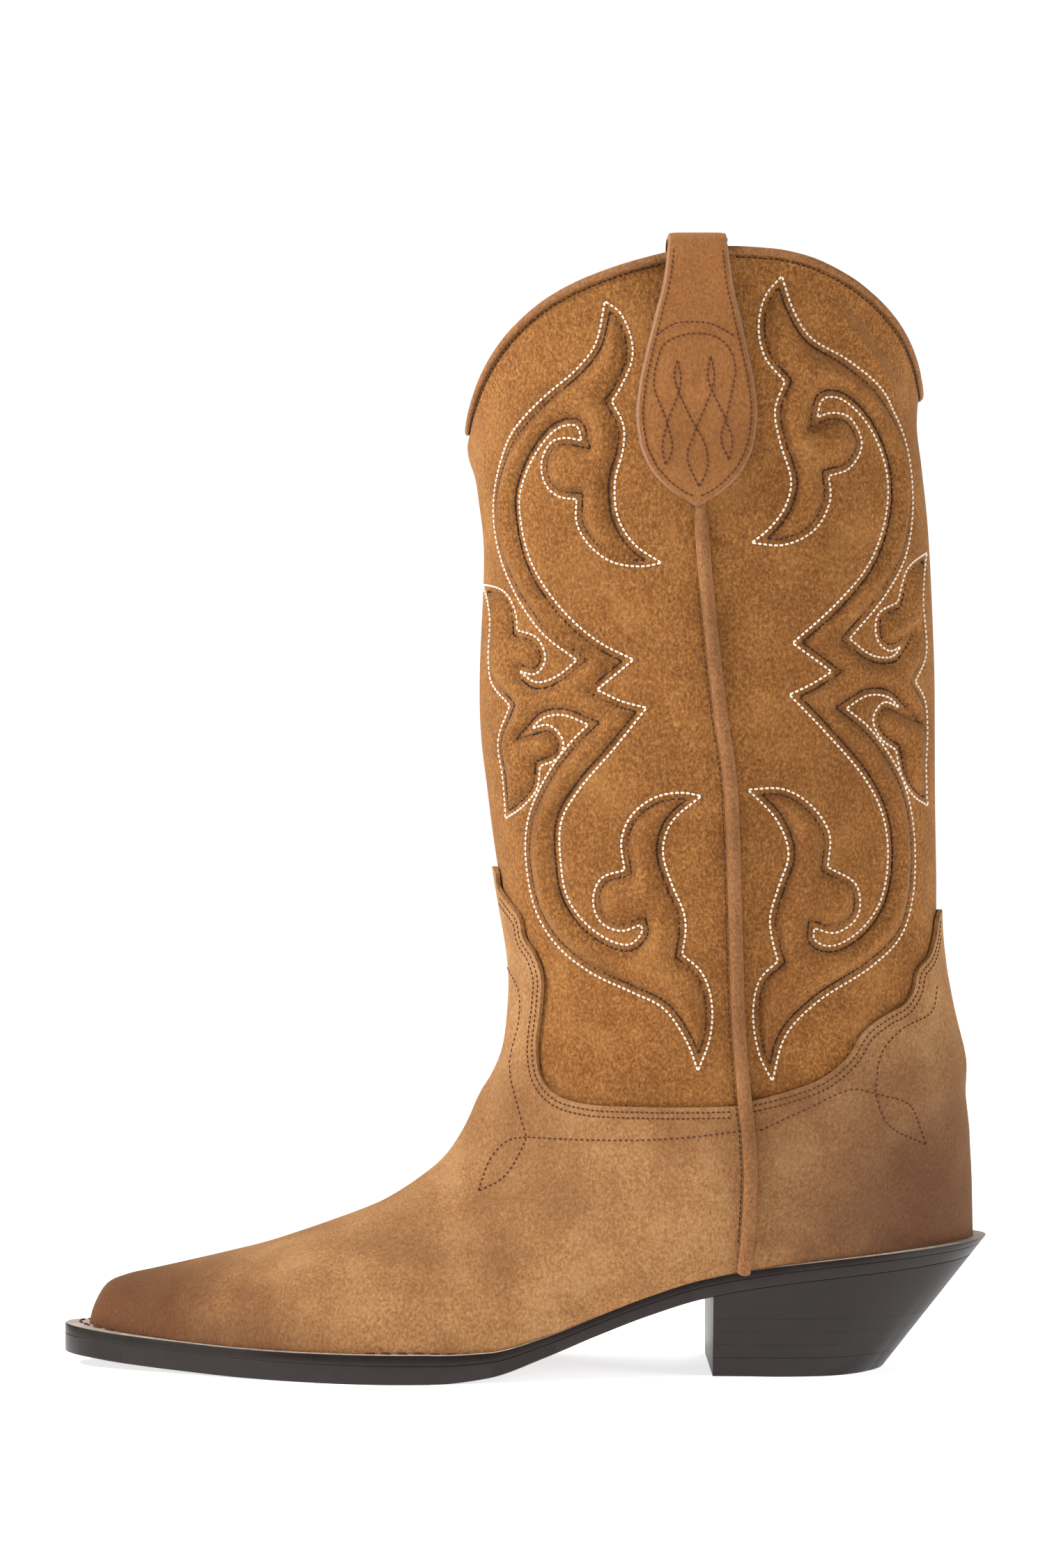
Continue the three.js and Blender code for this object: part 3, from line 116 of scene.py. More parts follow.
CENTRE = [
    (-144, 4.6), (-105, 3.4), (-70, 0.8), (-40, -1), (0, -1.6), (30, -1.6), (70, 0), (144, 0),
]

TREAD = [
    (-144, 5.2), (-126, 2.4), (-105, 1), (-84, 0.2), (-64, 0), (-28, 0), (-12, 1.5), (5, 7),
    (21, 13.2), (38, 19.4), (55, 24.4), (80, 28.5), (105, 31.4), (125, 33.6), (144, 35.5),
]

LEDGE = [
    (-136.4, 7.6), (-130, 5.4), (-115, 4.4), (-90, 3.8), (-40, 3.6), (0, 3.4), (30, 3.3), (70, 3.1),
    (120, 3.4), (139.8, 4.2),
]

SEAM = [
    (30, 66.2), (47, 68), (62, 68.6), (74, 68), (86, 66.6), (110, 64.6), (133, 63.7), (178, 62),
    (204, 58.5), (236, 54.9), (262, 52.7), (290, 51.7), (356, 51.5),
]

TOPLINE = [
    (-24, 279), (-18.6, 287), (-17.4, 291), (-16.2, 296), (-12.9, 305), (-7, 314.3), (-1, 320.6),
    (7, 326.6), (18, 332), (35, 337.4), (50, 340.4), (62, 341), (75, 340.4), (84, 338.8), (97, 333.5),
    (106, 327.5), (112, 321.9), (116.5, 316), (119.6, 309.8), (122, 303), (127, 296),
]

VAMP_EDGE = [
    (-20, 158), (-8.4, 155.4), (-7, 149), (-4, 144.6), (-0.6, 140), (0.6, 134), (3.6, 129.4), (6, 122),
    (5.6, 112), (4.4, 100), (5.6, 91), (10, 85.8), (18, 83.4), (35, 82.8), (54, 83), (74, 83.8),
]

COUNTER_EDGE = [
    (60, 83.4), (70, 85.4), (82, 88.6), (91, 92.4), (98, 98.4), (102.6, 105.8), (109, 110.6),
    (115, 113.8), (118, 118.2), (119.4, 124), (123.4, 128.4), (125.6, 134.4), (127.6, 141.4),
    (140, 144),
]

SHAFT_FRONT_FOOT = [
    (-16, 97), (-4, 92), (10, 74), (30, 71), (74, 71),
]

SHAFT_BACK_FOOT = [
    (60, 71), (76, 73), (98, 85), (118, 104), (136, 113),
]

STRAP_OUTLINE = [
    (265, 0.6), (266.6, 4.2), (270.5, 9.6), (276, 14.2), (283, 17.1), (292, 18.2), (301, 17.3),
    (310.5, 15.3), (320, 13), (331.5, 10.2), (344, 8.8),
]

# %% [markdown]
# A smooth curve through a few points is what a draughtsman's batten gives. `batten` never overshoots
# its points; `bow` is rounder and is used where a curve turns back on itself.

# %% Curves
def batten(pairs):
    xs, ys = np.array(pairs, float).T
    slopes = np.diff(ys) / np.diff(xs)
    before, after = slopes[:-1], slopes[1:]
    total = np.where(before + after == 0, 1, before + after)
    middle = np.where(before * after <= 0, 0, 2 * before * after / total)
    tangents = np.concatenate([slopes[:1], middle, slopes[-1:]])

    def at(x):
        x = np.clip(np.asarray(x, float), xs[0], xs[-1])
        i = np.clip(np.searchsorted(xs, x, side="right") - 1, 0, len(xs) - 2)
        step = xs[i + 1] - xs[i]
        t = (x - xs[i]) / step
        rise = ys[i] * (1 + 2 * t) * (1 - t) ** 2 + ys[i + 1] * (3 - 2 * t) * t**2
        return rise + step * (tangents[i] * t * (1 - t) ** 2 - tangents[i + 1] * (1 - t) * t**2)

    return at


class Bow:
    """A rounded curve through points, read by point number."""

    def __init__(self, points, closed=False):
        p = np.array(points, float)
        n = len(p)
        if closed:
            ends = p[np.arange(-1, n + 2) % n]
        else:
            ends = np.vstack([2 * p[0] - p[1], p, 2 * p[-1] - p[-2]])
        a, b, c, d = ends[:-3], ends[1:-2], ends[2:-1], ends[3:]
        gap = lambda u, v: np.maximum(np.sqrt(np.linalg.norm(v - u, axis=1)), 1e-6)[:, None]
        d0, d1, d2 = gap(a, b), gap(b, c), gap(c, d)
        t1 = ((b - a) / d0 - (c - a) / (d0 + d1) + (c - b) / d1) * d1
        t2 = ((c - b) / d1 - (d - b) / (d1 + d2) + (d - c) / d2) * d1
        self.parts = (b, t1, -3 * b + 3 * c - 2 * t1 - t2, 2 * b - 2 * c + t1 + t2)
        self.closed = closed

    def _where(self, at):
        at = np.asarray(at, float)
        count = len(self.parts[0])
        at = at % count if self.closed else np.clip(at, 0, count)
        i = np.minimum(np.floor(at).astype(int), count - 1)
        return [q[i] for q in self.parts], (at - i)[..., None]

    def point(self, at):
        (a, b, c, d), t = self._where(at)
        return a + b * t + c * t**2 + d * t**3

    def along(self, at):
        (a, b, c, d), t = self._where(at)
        way = b + 2 * c * t + 3 * d * t**2
        return way / np.linalg.norm(way, axis=-1, keepdims=True)


def ease(low, high, value):
    t = np.clip((value - low) / (high - low), 0, 1)
    return t * t * (3 - 2 * t)


# %% Heights and outlines that the pieces share
tread_at = batten(TREAD)
back_at = batten(BACK)
centre_at = batten(CENTRE)
ledge_at = batten(LEDGE)
seam_at = batten(SEAM)
topline_at = batten(TOPLINE)
TOE = len(FEATHER) - 1
LAST = len(SECTIONS) - 1


def waist(x):
    return ease(-34, 16, x)


def outsole_at(x):
    return 5.6 + (3.5 - 5.6) * waist(x)


def welt_at(x):
    return 3.0 + (2.0 - 3.0) * waist(x)


def seat_at(x):
    return tread_at(x) + outsole_at(x) + 1.5 * CLEAR


outline = FEATHER + [(x, -half) for x, half in FEATHER[-2:0:-1]]
feather_loop = Bow(outline, closed=True)


def feather(place, out=0.0):
    """x and half width of the feather line at a place, moved outwards."""
    place = np.asarray(place, float)
    at = feather_loop.point(place)
    way = feather_loop.along(place)
    ends = (place <= 0) | (place >= TOE)
    half = np.where(ends, 0, at[..., 1] - out * way[..., 0])
    return at[..., 0] + out * way[..., 1], np.maximum(half, 0)


HEEL_FRONT = 57.5
HEEL_BACK_RUN = 32.5
HEEL_TOP = float(seat_at(139.8) + 2.0)
HEEL_BACK = float(139.8 + ledge_at(139.8))


def slanted(x, half, z):
    """The heel's back and sides slant in towards the ground."""
    drop = np.maximum(HEEL_TOP - z, 0) / HEEL_TOP
    tread = np.maximum(tread_at(x), 1e-6)
    side = np.where(z < tread_at(x), 1 - z / tread, 0)
    back = np.maximum(x - HEEL_FRONT, 0) / (HEEL_BACK - HEEL_FRONT)
    return x - HEEL_BACK_RUN * drop * back, np.maximum(half - 5.5 * side * np.minimum(1, half / 20), 0)


# %% The skin: a point for every section and turn round the boot
CORNER = float(seat_at(139.8))
profile = Bow([(s[0], seat_at(s[0]) if i == LAST else s[1]) for i, s in enumerate(SECTIONS)])
back_place = batten([(i, CORNER - s[2] if i < 14 else s[2]) for i, s in enumerate(SECTIONS)])
half_at, wide_at, front_round, back_round = [
    batten([(i, s[k]) for i, s in enumerate(SECTIONS)]) for k in (3, 4, 5, 6)
]


def section(v, depth=0.0):
    """Both ends of a section below the surface, and its shape."""
    v = np.asarray(v, float)
    front = profile.point(v)
    way = profile.along(v)
    x, z = front[..., 0], front[..., 1]
    wall_share = np.where(x < -120, 1 - ease(seat_at(x), 22, z), 0)
    front_x = x - depth * way[..., 1]
    front_z = z + depth * way[..., 0] + depth * wall_share
    half = np.maximum(half_at(v) - depth, 0)
    place = back_place(v)
    rise = -place
    full = -float(back_place(0))
    foot_x, foot = feather(np.clip(place, 0, TOE), -depth)
    up = place < 0
    back_z = np.where(up, CORNER + depth + rise * (1 - depth / full), seat_at(foot_x) + depth)
    back_x = np.where(up, back_at(CORNER + rise) - depth, foot_x)
    foot = np.where(up, 0, foot)
    end = v >= LAST
    front_x, front_z = np.where(end, back_x, front_x), np.where(end, back_z, front_z)
    half, foot = np.where(end, 0, half), np.where(end, 0, foot)
    return front_x, front_z, back_x, back_z, np.maximum(half, foot), foot


def share_of(turn, wide):
    front = wide * (1 - np.cos(np.minimum(turn, 1) * math.pi / 2))
    back = (1 - wide) * np.sin(np.maximum(turn - 1, 0) * math.pi / 2)
    return front + back


def turn_of(share, wide):
    front = np.arccos(np.clip(1 - share / wide, -1, 1)) * 2 / math.pi
    back = 1 + np.arcsin(np.clip((share - wide) / (1 - wide), 0, 1)) * 2 / math.pi
    return np.where(share <= wide, front, back)


def skin(v, turn, side, depth=0.0):
    """A point of the surface: turn 0 is the front, 2 the back; side -1 is the outer side of the foot."""
    fx, fz, bx, bz, half, foot = section(v, depth)
    wide = wide_at(v)
    share = share_of(turn, wide)
    x, z = fx + (bx - fx) * share, fz + (bz - fz) * share
    inward = np.clip(1 - share / wide, 0, 1)
    outward = np.clip((share - wide) / (1 - wide), 0, 1)
    fr, br = front_round(v), back_round(v)
    before = half * np.maximum(1 - inward**fr, 0) ** (1 / fr)
    behind = foot + (half - foot) * np.maximum(1 - outward**br, 0) ** (1 / br)
    y = centre_at(x) * (1 - ease(40, 110, z)) + side * np.where(share <= wide, before, behind)
    return np.stack([x, y, z], axis=-1)


def locate(x, z, depth=0.0):
    """The section and turn at which the surface passes a point of the side view."""
    low, high = np.zeros(np.shape(x)), np.full(np.shape(x), float(LAST))
    for _ in range(30):
        middle = (low + high) / 2
        fx, fz, bx, bz, _, _ = section(middle, depth)
        under = (bx - fx) * (z - fz) - (bz - fz) * (x - fx) < 0
        low, high = np.where(under, middle, low), np.where(under, high, middle)
    v = (low + high) / 2
    fx, fz, bx, bz, _, _ = section(v, depth)
    share = ((x - fx) * (bx - fx) + (z - fz) * (bz - fz)) / ((bx - fx) ** 2 + (bz - fz) ** 2)
    return v, turn_of(np.clip(share, 0, 1), wide_at(v))


def normal_at(v, turn, side, depth=0.0):
    safe = np.clip(turn, 0.02, 1.98)
    low, high = np.clip(v - 0.02, 0, LAST), np.clip(v + 0.02, 0, LAST - 0.001)
    round_ = skin(v, safe + 0.02, side, depth) - skin(v, safe - 0.02, side, depth)
    down = skin(high, safe, side, depth) - skin(low, safe, side, depth)
    n = np.cross(round_, down) * np.asarray(side)[..., None]
    return n / np.maximum(np.linalg.norm(n, axis=-1, keepdims=True), 1e-9)


def wall(x, z, side, depth=0.0):
    """The point of the wall seen at (x, z) in side view, and its outward normal."""
    x, z = np.asarray(x, float), np.asarray(z, float)
    v, turn = locate(x, z, depth)
    return skin(v, turn, side, depth), normal_at(v, turn, side, depth)


def seam_turn(v, shift=0.0, depth=0.0):
    """The turn at which a section crosses the side seam; 2 where it passes below it."""
    fx, fz, bx, bz, _, _ = section(v, depth)
    low, high = np.zeros(np.shape(v)), np.ones(np.shape(v))
    for _ in range(30):
        share = (low + high) / 2
        before = fx + (bx - fx) * share < seam_at(fz + (bz - fz) * share) + shift
        low, high = np.where(before, share, low), np.where(before, high, share)
    return np.where(low > 0.9999, 2, turn_of(low, wide_at(v)))


def column_turn(v, share, is_front):
    """Columns of a panel, from the front centre to the seam or from the seam to the back."""
    edge = seam_turn(v, -SEAM_GAP / 2 if is_front else SEAM_GAP / 2)
    return edge * share if is_front else edge + (2 - edge) * share


def topline_row(share, is_front):
    """The section at which a column meets the top edge."""
    share = np.asarray(share, float)
    low, high = np.zeros(share.shape), np.full(share.shape, 3.0)
    for _ in range(24):
        v = (low + high) / 2
        p = skin(v, column_turn(v, share, is_front), 1)
        above = p[..., 2] > topline_at(p[..., 0])
        low, high = np.where(above, v, low), np.where(above, high, v)
    return low


front_foot, back_foot = batten(SHAFT_FRONT_FOOT), batten(SHAFT_BACK_FOOT)


def front_lift(x, z):
    """How far the vamp is raised by the shaft leather under it."""
    foot = front_foot(x)
    return (LEATHER + CLEAR) * ease(foot - 22, foot - 9, z)


def back_lift(x, z):
    foot = back_foot(x)
    return (LEATHER + CLEAR) * ease(foot - 30, foot - 17, z)


print("top of the shaft at the seam:", skin(0.5, 1.0, -1).round(1))

# %% [markdown]
# ## The stitch pattern
# A western shaft carries rows of stitching through a foam backing, so the leather between the rows
# puffs up. One closed outline is drafted for the front panel and one for the back, as smooth runs that
# meet at points and cusps. The white row follows the outline. The brown row runs inside it, and the
# leather inside the brown row is the puffed part. Both halves are mirrored to the inner side.

# %% Draft of the stitched outlines: x, z on the side of the boot
# Each run starts at a point or cusp and ends where the next one starts. A tip that reaches the front
# or the back edge needs its tenth of a millimetre, since the wall turns away fastest there.
FRONT_PATTERN = [
    [(24, 326), (28.5, 322.5), (32, 314), (32, 308), (28, 299)],
    [(26, 296), (29.5, 289), (29.5, 282), (27, 272), (28, 261), (33, 253)],
    [(41, 247.5), (35, 246.5), (26, 248), (19, 253.5), (15.5, 260)],
    [(15.5, 267), (10, 268), (6, 272), (5, 279), (8, 284.5), (12, 285.5)],
    [(17, 284.5), (15.5, 289), (10, 288.5), (3, 281), (-1.5, 270), (-1.5, 262), (2, 248),
     (11, 234), (22, 224)],
    [(32.5, 218.5)],
    [(21.5, 209.5), (29, 206)],
    [(36.5, 204), (27, 192), (16, 179), (11, 170), (10.5, 158), (12.5, 147), (19, 138),
     (27, 133), (32, 132.5), (35.5, 136.5)],
    [(35, 138.5), (29, 136.5), (23, 139), (20.5, 146), (23, 152.5)],
    [(30, 155), (29, 164), (32, 171.5), (39, 177), (47, 178.5)],
    [(53, 177.5), (44, 169.5), (41.5, 161), (44, 151.5), (48, 142), (48.5, 137)],
    [(47.5, 129.5), (53.5, 124), (56.5, 115), (56, 104)],
    [(52.5, 94), (49, 103), (42, 113), (32, 118), (20, 123.5), (10, 131), (3, 142.5), (0, 157),
     (1, 171), (7, 184.5), (14, 194)],
    [(19, 199), (11, 202), (5, 201)],
    [(2, 198), (7, 199), (11.5, 194), (10, 189)],
    [(4.5, 186.5), (3.5, 179.5), (-1, 174)],
    [(-6, 170.5), (-7, 183), (-8.5, 194.5)],
    [(-5, 205), (-10.5, 212), (-11.5, 220), (-11, 232)],
    [(-12.8, 243), (-6.5, 240), (-3, 233.5)],
    [(-2.5, 228), (3.5, 225.5), (6, 219), (3, 214.5)],
    [(-2, 215.5), (3, 212), (9, 213.5)],
    [(15.5, 218.5), (5, 227), (-4, 241), (-9, 256), (-9.5, 271), (-5, 285), (6, 298),
     (15.5, 306), (21, 313)],
]

BACK_PATTERN = [
    [(77, 333.5), (72, 327.5), (70, 318), (72, 309)],
    [(78, 302), (75, 293.5), (76.5, 284), (80, 272), (78, 264), (73, 257.5)],
    [(68, 253.5), (78, 253), (87.5, 258), (92, 267)],
    [(91.5, 274), (98, 276.5), (102, 284), (98, 292), (92, 293)],
    [(88, 291.5), (89.5, 297), (95, 297.5), (104, 290), (110, 276), (109.5, 262), (104, 247.5),
     (93, 234.5)],
    [(80.5, 223.5)],
    [(92.5, 215), (86, 211)],
    [(79.5, 208), (91, 196.5), (103, 183), (109, 171), (110.5, 158), (108, 145), (101, 136),
     (92.5, 132), (87.5, 134)],
    [(87.5, 137.5), (94, 136), (101, 141), (100.5, 150.5)],
    [(91.5, 156), (92, 166), (86.5, 174.5), (78, 179.5)],
    [(67, 179.5), (76, 170), (79.5, 160), (76.5, 150), (74, 141), (74.5, 135)],
    [(76.5, 127.5), (71, 122), (69, 112), (71, 99)],
    [(75, 91), (79, 105), (88.5, 115), (106, 126), (115.5, 135), (119, 147), (119, 168),
     (115, 183), (105, 197.5)],
    [(97, 204), (104, 208), (110.5, 207.5)],
    [(114, 204.5), (109, 206), (105.5, 201), (108, 195)],
    [(113, 191.5), (115, 183.5), (119, 177.5)],
    [(124, 174.5), (123.5, 187), (124, 197), (123, 207)],
    [(119.5, 212.5), (123.5, 221), (122.5, 238)],
    [(123.8, 252.5), (117, 247)],
    [(113.5, 236.5), (107, 232.5), (107, 224.5), (111, 221.5)],
    [(114.5, 223), (112, 220), (105.5, 220)],
    [(98, 225), (109.5, 238.5), (116.5, 251.5), (119, 270), (116, 288), (108, 300.5),
     (97, 309.5), (86, 315.5), (80.5, 323.5)],
]

# Single rows on the vamp and the counter, each with both of its ends.
VAMP_LINES = [
    [(-3.7, 124), (-0.5, 117), (-0.5, 108), (-3.5, 93), (-1, 80), (1, 72.5)],
    [(1, 72.5), (-5, 71.5), (-10.5, 66), (-14.5, 56)],
    [(-14.5, 56), (-6.5, 60.5), (1, 72.5)],
    [(1, 72.5), (25, 72.5), (46, 73.5), (66, 76)],
]

COUNTER_LINES = [
    [(125.5, 119), (123.5, 111), (114.5, 106.5), (108, 99.5), (106, 87)],
    [(106, 87), (99, 88.5), (85, 82.5), (71, 76)],
    [(106, 87), (117, 83), (123, 70.5)],
    [(123, 70.5), (110, 77.5), (106, 87)],
]


def closed_runs(draft):
    """The runs of a closed outline, each carried on to the first point of the next."""
    return [run + [draft[(k + 1) % len(draft)][0]] for k, run in enumerate(draft)]


# %% Smooth rows of points from a draft
def resample(points, pitch):
    """The same line as evenly spaced points."""
    points = np.asarray(points, float)
    gaps = np.linalg.norm(np.diff(points, axis=0), axis=1)
    run = np.concatenate([[0], np.cumsum(gaps)])
    count = max(int(round(run[-1] / pitch)), 2)
    at = np.linspace(0, run[-1], count + 1)
    return np.stack([np.interp(at, run, points[:, k]) for k in range(points.shape[1])], axis=1)


def smooth_run(points, pitch=0.4):
    bow = Bow(points)
    fine = bow.point(np.linspace(0, len(points) - 1, 16 * (len(points) - 1) + 1))
    return resample(fine, pitch)


def squeeze_at(points):
    """How much a length across the boot shrinks in side view at these points."""
    _, normal = wall(points[:, 0], points[:, 1], -1)
    return np.maximum(np.abs(normal[:, 1]), 0.25)


def beside(points, distance):
    """A line that runs at a distance to the right of another, on the leather."""
    f = squeeze_at(points)
    way = np.gradient(points, axis=0)
    way[:, 0] /= f
    way /= np.linalg.norm(way, axis=1, keepdims=True)
    return points + distance * np.stack([way[:, 1] * f, -way[:, 0]], axis=1)


def crossing(first, second, corner):
    """Where two lines cross nearest to a corner: (index in first, index in second, point)."""
    a0, a1 = first[:-1, None], first[1:, None]
    b0, b1 = second[None, :-1], second[None, 1:]
    da, db, gap = a1 - a0, b1 - b0, b0 - a0
    cross = lambda u, v: u[..., 0] * v[..., 1] - u[..., 1] * v[..., 0]
    area = cross(da, db)
    area = np.where(np.abs(area) < 1e-12, 1e-12, area)
    s, t = cross(gap, db) / area, cross(gap, da) / area
    hit = (s >= 0) & (s <= 1) & (t >= 0) & (t <= 1)
    if not hit.any():
        return None
    i, j = np.nonzero(hit)
    places = (a0 + da * s[..., None])[i, j]
    best = np.argmin(np.linalg.norm(places - corner, axis=1))
    return i[best], j[best], places[best]


def inner_outline(runs, distance):
    """The closed outline inside another one, with its points and cusps kept sharp."""
    whole = np.vstack(runs)
    area = np.sum(whole[:, 0] * np.roll(whole[:, 1], -1) - whole[:, 1] * np.roll(whole[:, 0], -1))
    sides = [beside(run, distance if area < 0 else -distance) for run in runs]
    reach = 9.0

    def longer(line):
        start = line[0] - line[3]
        end = line[-1] - line[-4]
        return np.vstack([
            line[0] + start / np.linalg.norm(start) * reach,
            line,
            line[-1] + end / np.linalg.norm(end) * reach,
        ])

    longs = [longer(line) for line in sides]
    meets = [
        crossing(longs[k], longs[(k + 1) % len(longs)], runs[k][-1]) for k in range(len(longs))
    ]
    result = []
    for k, line in enumerate(longs):
        before, after = meets[k - 1], meets[k]
        start = 1 if before is None else before[1] + 1
        stop = len(line) - 1 if after is None else after[0] + 1
        head = [] if before is None else [before[2]]
        tail = [] if after is None else [after[2]]
        result.append(np.array(head + list(line[start:stop]) + tail))
    return result


def inside(x, z, polygon):
    """True for the points inside a closed polygon of the side view."""
    x, z = np.ravel(x), np.ravel(z)
    odd = np.zeros(x.shape, bool)
    ends = np.roll(polygon, -1, axis=0)
    for (x0, z0), (x1, z1) in zip(polygon, ends):
        if z0 == z1:
            continue
        between = (z0 > z) != (z1 > z)
        odd ^= between & (x < (x1 - x0) * (z - z0) / (z1 - z0) + x0)
    return odd


BROWN_INSET = 1.9  # from the white row to the brown row
PUFF = 3.0  # full height of the puffed leather
PUFF_REACH = 6.2  # distance from the brown row at which it is reached
ROW_DEPTH = 0.45  # how deep the rows sink


class Pattern:
    """One half of the shaft's stitching, and the puff of the leather inside it."""

    def __init__(self, draft):
        self.white = [smooth_run(run) for run in closed_runs(draft)]
        self.brown = inner_outline(self.white, BROWN_INSET)
        polygon = resample(np.vstack([run for run in self.brown if len(run) > 1]), 0.9)
        self.polygon = polygon
        at, _ = wall(polygon[:, 0], polygon[:, 1], -1)
        self.tree = KDTree(len(at))
        for i, p in enumerate(at):
            self.tree.insert(p, i)
        self.tree.balance()

    def relief(self, points):
        """Height of the leather over the plain wall, for points of the outer side."""
        puffed = inside(points[:, 0], points[:, 2], self.polygon)
        far = np.array([self.tree.find(p)[2] for p in points])
        crown = PUFF * np.sqrt(ease(0.0, PUFF_REACH, far)) + 0.3 * ease(3, 8, far)
        ground = -ROW_DEPTH * np.exp(-((far / 2.6) ** 2))
        return np.where(puffed, crown - ROW_DEPTH, ground)

    def groove_shade(self, points):
        """1 on the brown row, where painted shade darkens the stitched groove, and 0 a few millimetres off.
        """
        puffed = inside(points[:, 0], points[:, 2], self.polygon)
        far = np.array([self.tree.find(p)[2] for p in points])
        return np.exp(-((far / np.where(puffed, 1.2, 0.6)) ** 2)) - 0.5 * puffed * ease(1.5, 5, far)


PATTERNS = {"front": Pattern(FRONT_PATTERN), "back": Pattern(BACK_PATTERN)}
for word, pattern in PATTERNS.items():
    print(word, "pattern:", len(pattern.white), "runs,", len(pattern.polygon), "points inside")

# %% [markdown]
# Leather on a boot is never quite smooth. It folds softly where the top dips and creases a little at
# the ankle. Each fold is a soft ridge or hollow along a short line.

# %% Soft folds of the shaft: x, z of both ends, width, height
FRONT_FOLDS = [
    (-14, 300, 6, 311, 6, -0.9), (-16, 284, 2, 297, 5.5, 2.6), (-8, 205, 40, 214, 12, -0.5),
    (-6, 150, 34, 160, 10, -0.5), (30, 236, 48, 214, 10, -0.6), (-5, 123, 20, 130, 9, -0.5),
]

BACK_FOLDS = [
    (92, 324, 111, 301, 3.4, 3.6), (84, 318, 101, 301, 4.5, -0.9), (99, 329, 114, 308, 4, -0.9),
    (70, 196, 96, 186, 9, -1.1), (74, 232, 92, 240, 10, -0.4), (110, 130, 124, 140, 8, -0.5),
]


def folds(points, table):
    rise = np.zeros(len(points))
    for x0, z0, x1, z1, width, height in table:
        way = np.array([x1 - x0, z1 - z0], float)
        off = points[:, [0, 2]] - (x0, z0)
        t = np.clip(off @ way / (way @ way), 0, 1)
        gap = np.linalg.norm(off - t[:, None] * way, axis=1)
        rise += height * np.exp(-((gap / width) ** 2)) * (0.55 + 0.45 * np.sin(math.pi * t))
    return rise


def shaft_relief(points, is_front):
    """Puff and folds together; it dies away at the side seam and at the top edge."""
    pattern = PATTERNS["front" if is_front else "back"]
    rise = pattern.relief(points) + folds(points, FRONT_FOLDS if is_front else BACK_FOLDS)
    to_seam = np.abs(points[:, 0] - seam_at(points[:, 2]))
    to_top = np.maximum(topline_at(points[:, 0]) - points[:, 2], 0)
    return np.maximum(rise, -1.3) * ease(1.5, 7, to_seam) * ease(1.5, 8, to_top)


# %% [markdown]
# ## Making a mesh
# Every leather panel starts as a plain grid, as leather starts as a flat sheet. Its corners are carried
# onto the boot's surface, and a Solidify modifier gives the thickness. Strips such as the welt, the
# piping and the straps are lofted: one grid edge runs round the profile and the other along the strip.

# %% Helpers for sheets and lofts
def fresh_grid(name, across, along):
    """A new grid object, and for each corner its share across and along."""
    bpy.ops.object.select_all(action="DESELECT")
    bpy.ops.mesh.primitive_grid_add(x_subdivisions=across, y_subdivisions=along, size=1)
    piece = bpy.context.object
    piece.name = name
    flat = np.empty(len(piece.data.vertices) * 3)
    piece.data.vertices.foreach_get("co", flat)
    flat = flat.reshape(-1, 3) + 0.5
    return piece, flat[:, 0], flat[:, 1]


def put_points(piece, points):
    piece.data.vertices.foreach_set("co", (np.asarray(points) * MM).ravel())
    piece.data.update()


def in_edit(piece, *steps):
    """Runs edit-mode steps on the whole of a piece."""
    bpy.ops.object.select_all(action="DESELECT")
    piece.select_set(True)
    bpy.context.view_layer.objects.active = piece
    bpy.ops.object.mode_set(mode="EDIT")
    bpy.ops.mesh.select_all(action="SELECT")
    for step in steps:
        step()
    bpy.ops.object.mode_set(mode="OBJECT")


def merge():
    bpy.ops.mesh.remove_doubles(threshold=0.00002)
    bpy.ops.mesh.select_all(action="SELECT")


def cap_ends():
    bpy.ops.mesh.select_all(action="DESELECT")
    bpy.ops.mesh.select_non_manifold(extend=False, use_multi_face=False, use_non_contiguous=False)
    bpy.ops.mesh.edge_face_add()
    bpy.ops.mesh.select_all(action="SELECT")


def face_out():
    bpy.ops.mesh.normals_make_consistent(inside=False)


def smooth_by(piece, degrees=40):
    bpy.ops.object.select_all(action="DESELECT")
    piece.select_set(True)
    bpy.context.view_layer.objects.active = piece
    bpy.ops.object.shade_smooth_by_angle(angle=math.radians(degrees))


def thicken(piece, thickness, rim=1):
    """Leather of that thickness inwards from the outer face, with its cut edge in its own material."""
    wall_ = piece.modifiers.new("thickness", "SOLIDIFY")
    wall_.thickness = thickness * MM
    wall_.offset = -1
    wall_.material_offset_rim = rim
    wall_.use_quality_normals = True
    bpy.context.view_layer.objects.active = piece
    bpy.ops.object.modifier_apply(modifier=wall_.name)


def finish_piece(piece, nodes, slot, *materials):
    """Materials, body, and the plain solids that the piece stands for."""
    piece.data.materials.clear()
    for material in materials:
        piece.data.materials.append(material)
    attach(piece, "root")
    if nodes:
        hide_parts(*nodes)
    sides = sum(len(f.vertices) - 2 for f in piece.data.polygons)
    print(f"{piece.name}: {sides} triangles")
    return piece


def loft(name, rings, closed_ring=True, cap=True):
    """A strip from rings of points, all of one length, in millimetres."""
    rings = np.asarray(rings, float)
    count, size = rings.shape[:2]
    around = size if closed_ring else size - 1
    piece, u, w = fresh_grid(name, around, count - 1)
    i = np.rint(w * (count - 1)).astype(int)
    j = np.rint(u * around).astype(int) % size
    put_points(piece, rings[i, j])
    steps = [merge] + ([cap_ends] if cap else []) + [face_out]
    in_edit(piece, *steps)
    return piece


def unit(v):
    return v / np.maximum(np.linalg.norm(v, axis=-1, keepdims=True), 1e-9)


# %% [markdown]
# ## Materials
# Suede is leather with its flesh side out, brushed to a short nap. Up close it is a fine speckle of
# light and dark fibres. From afar it has soft clouds where the nap lies another way. The maker rubbed
# dark cream into the toe and the heel. One node group makes the nap for every suede.

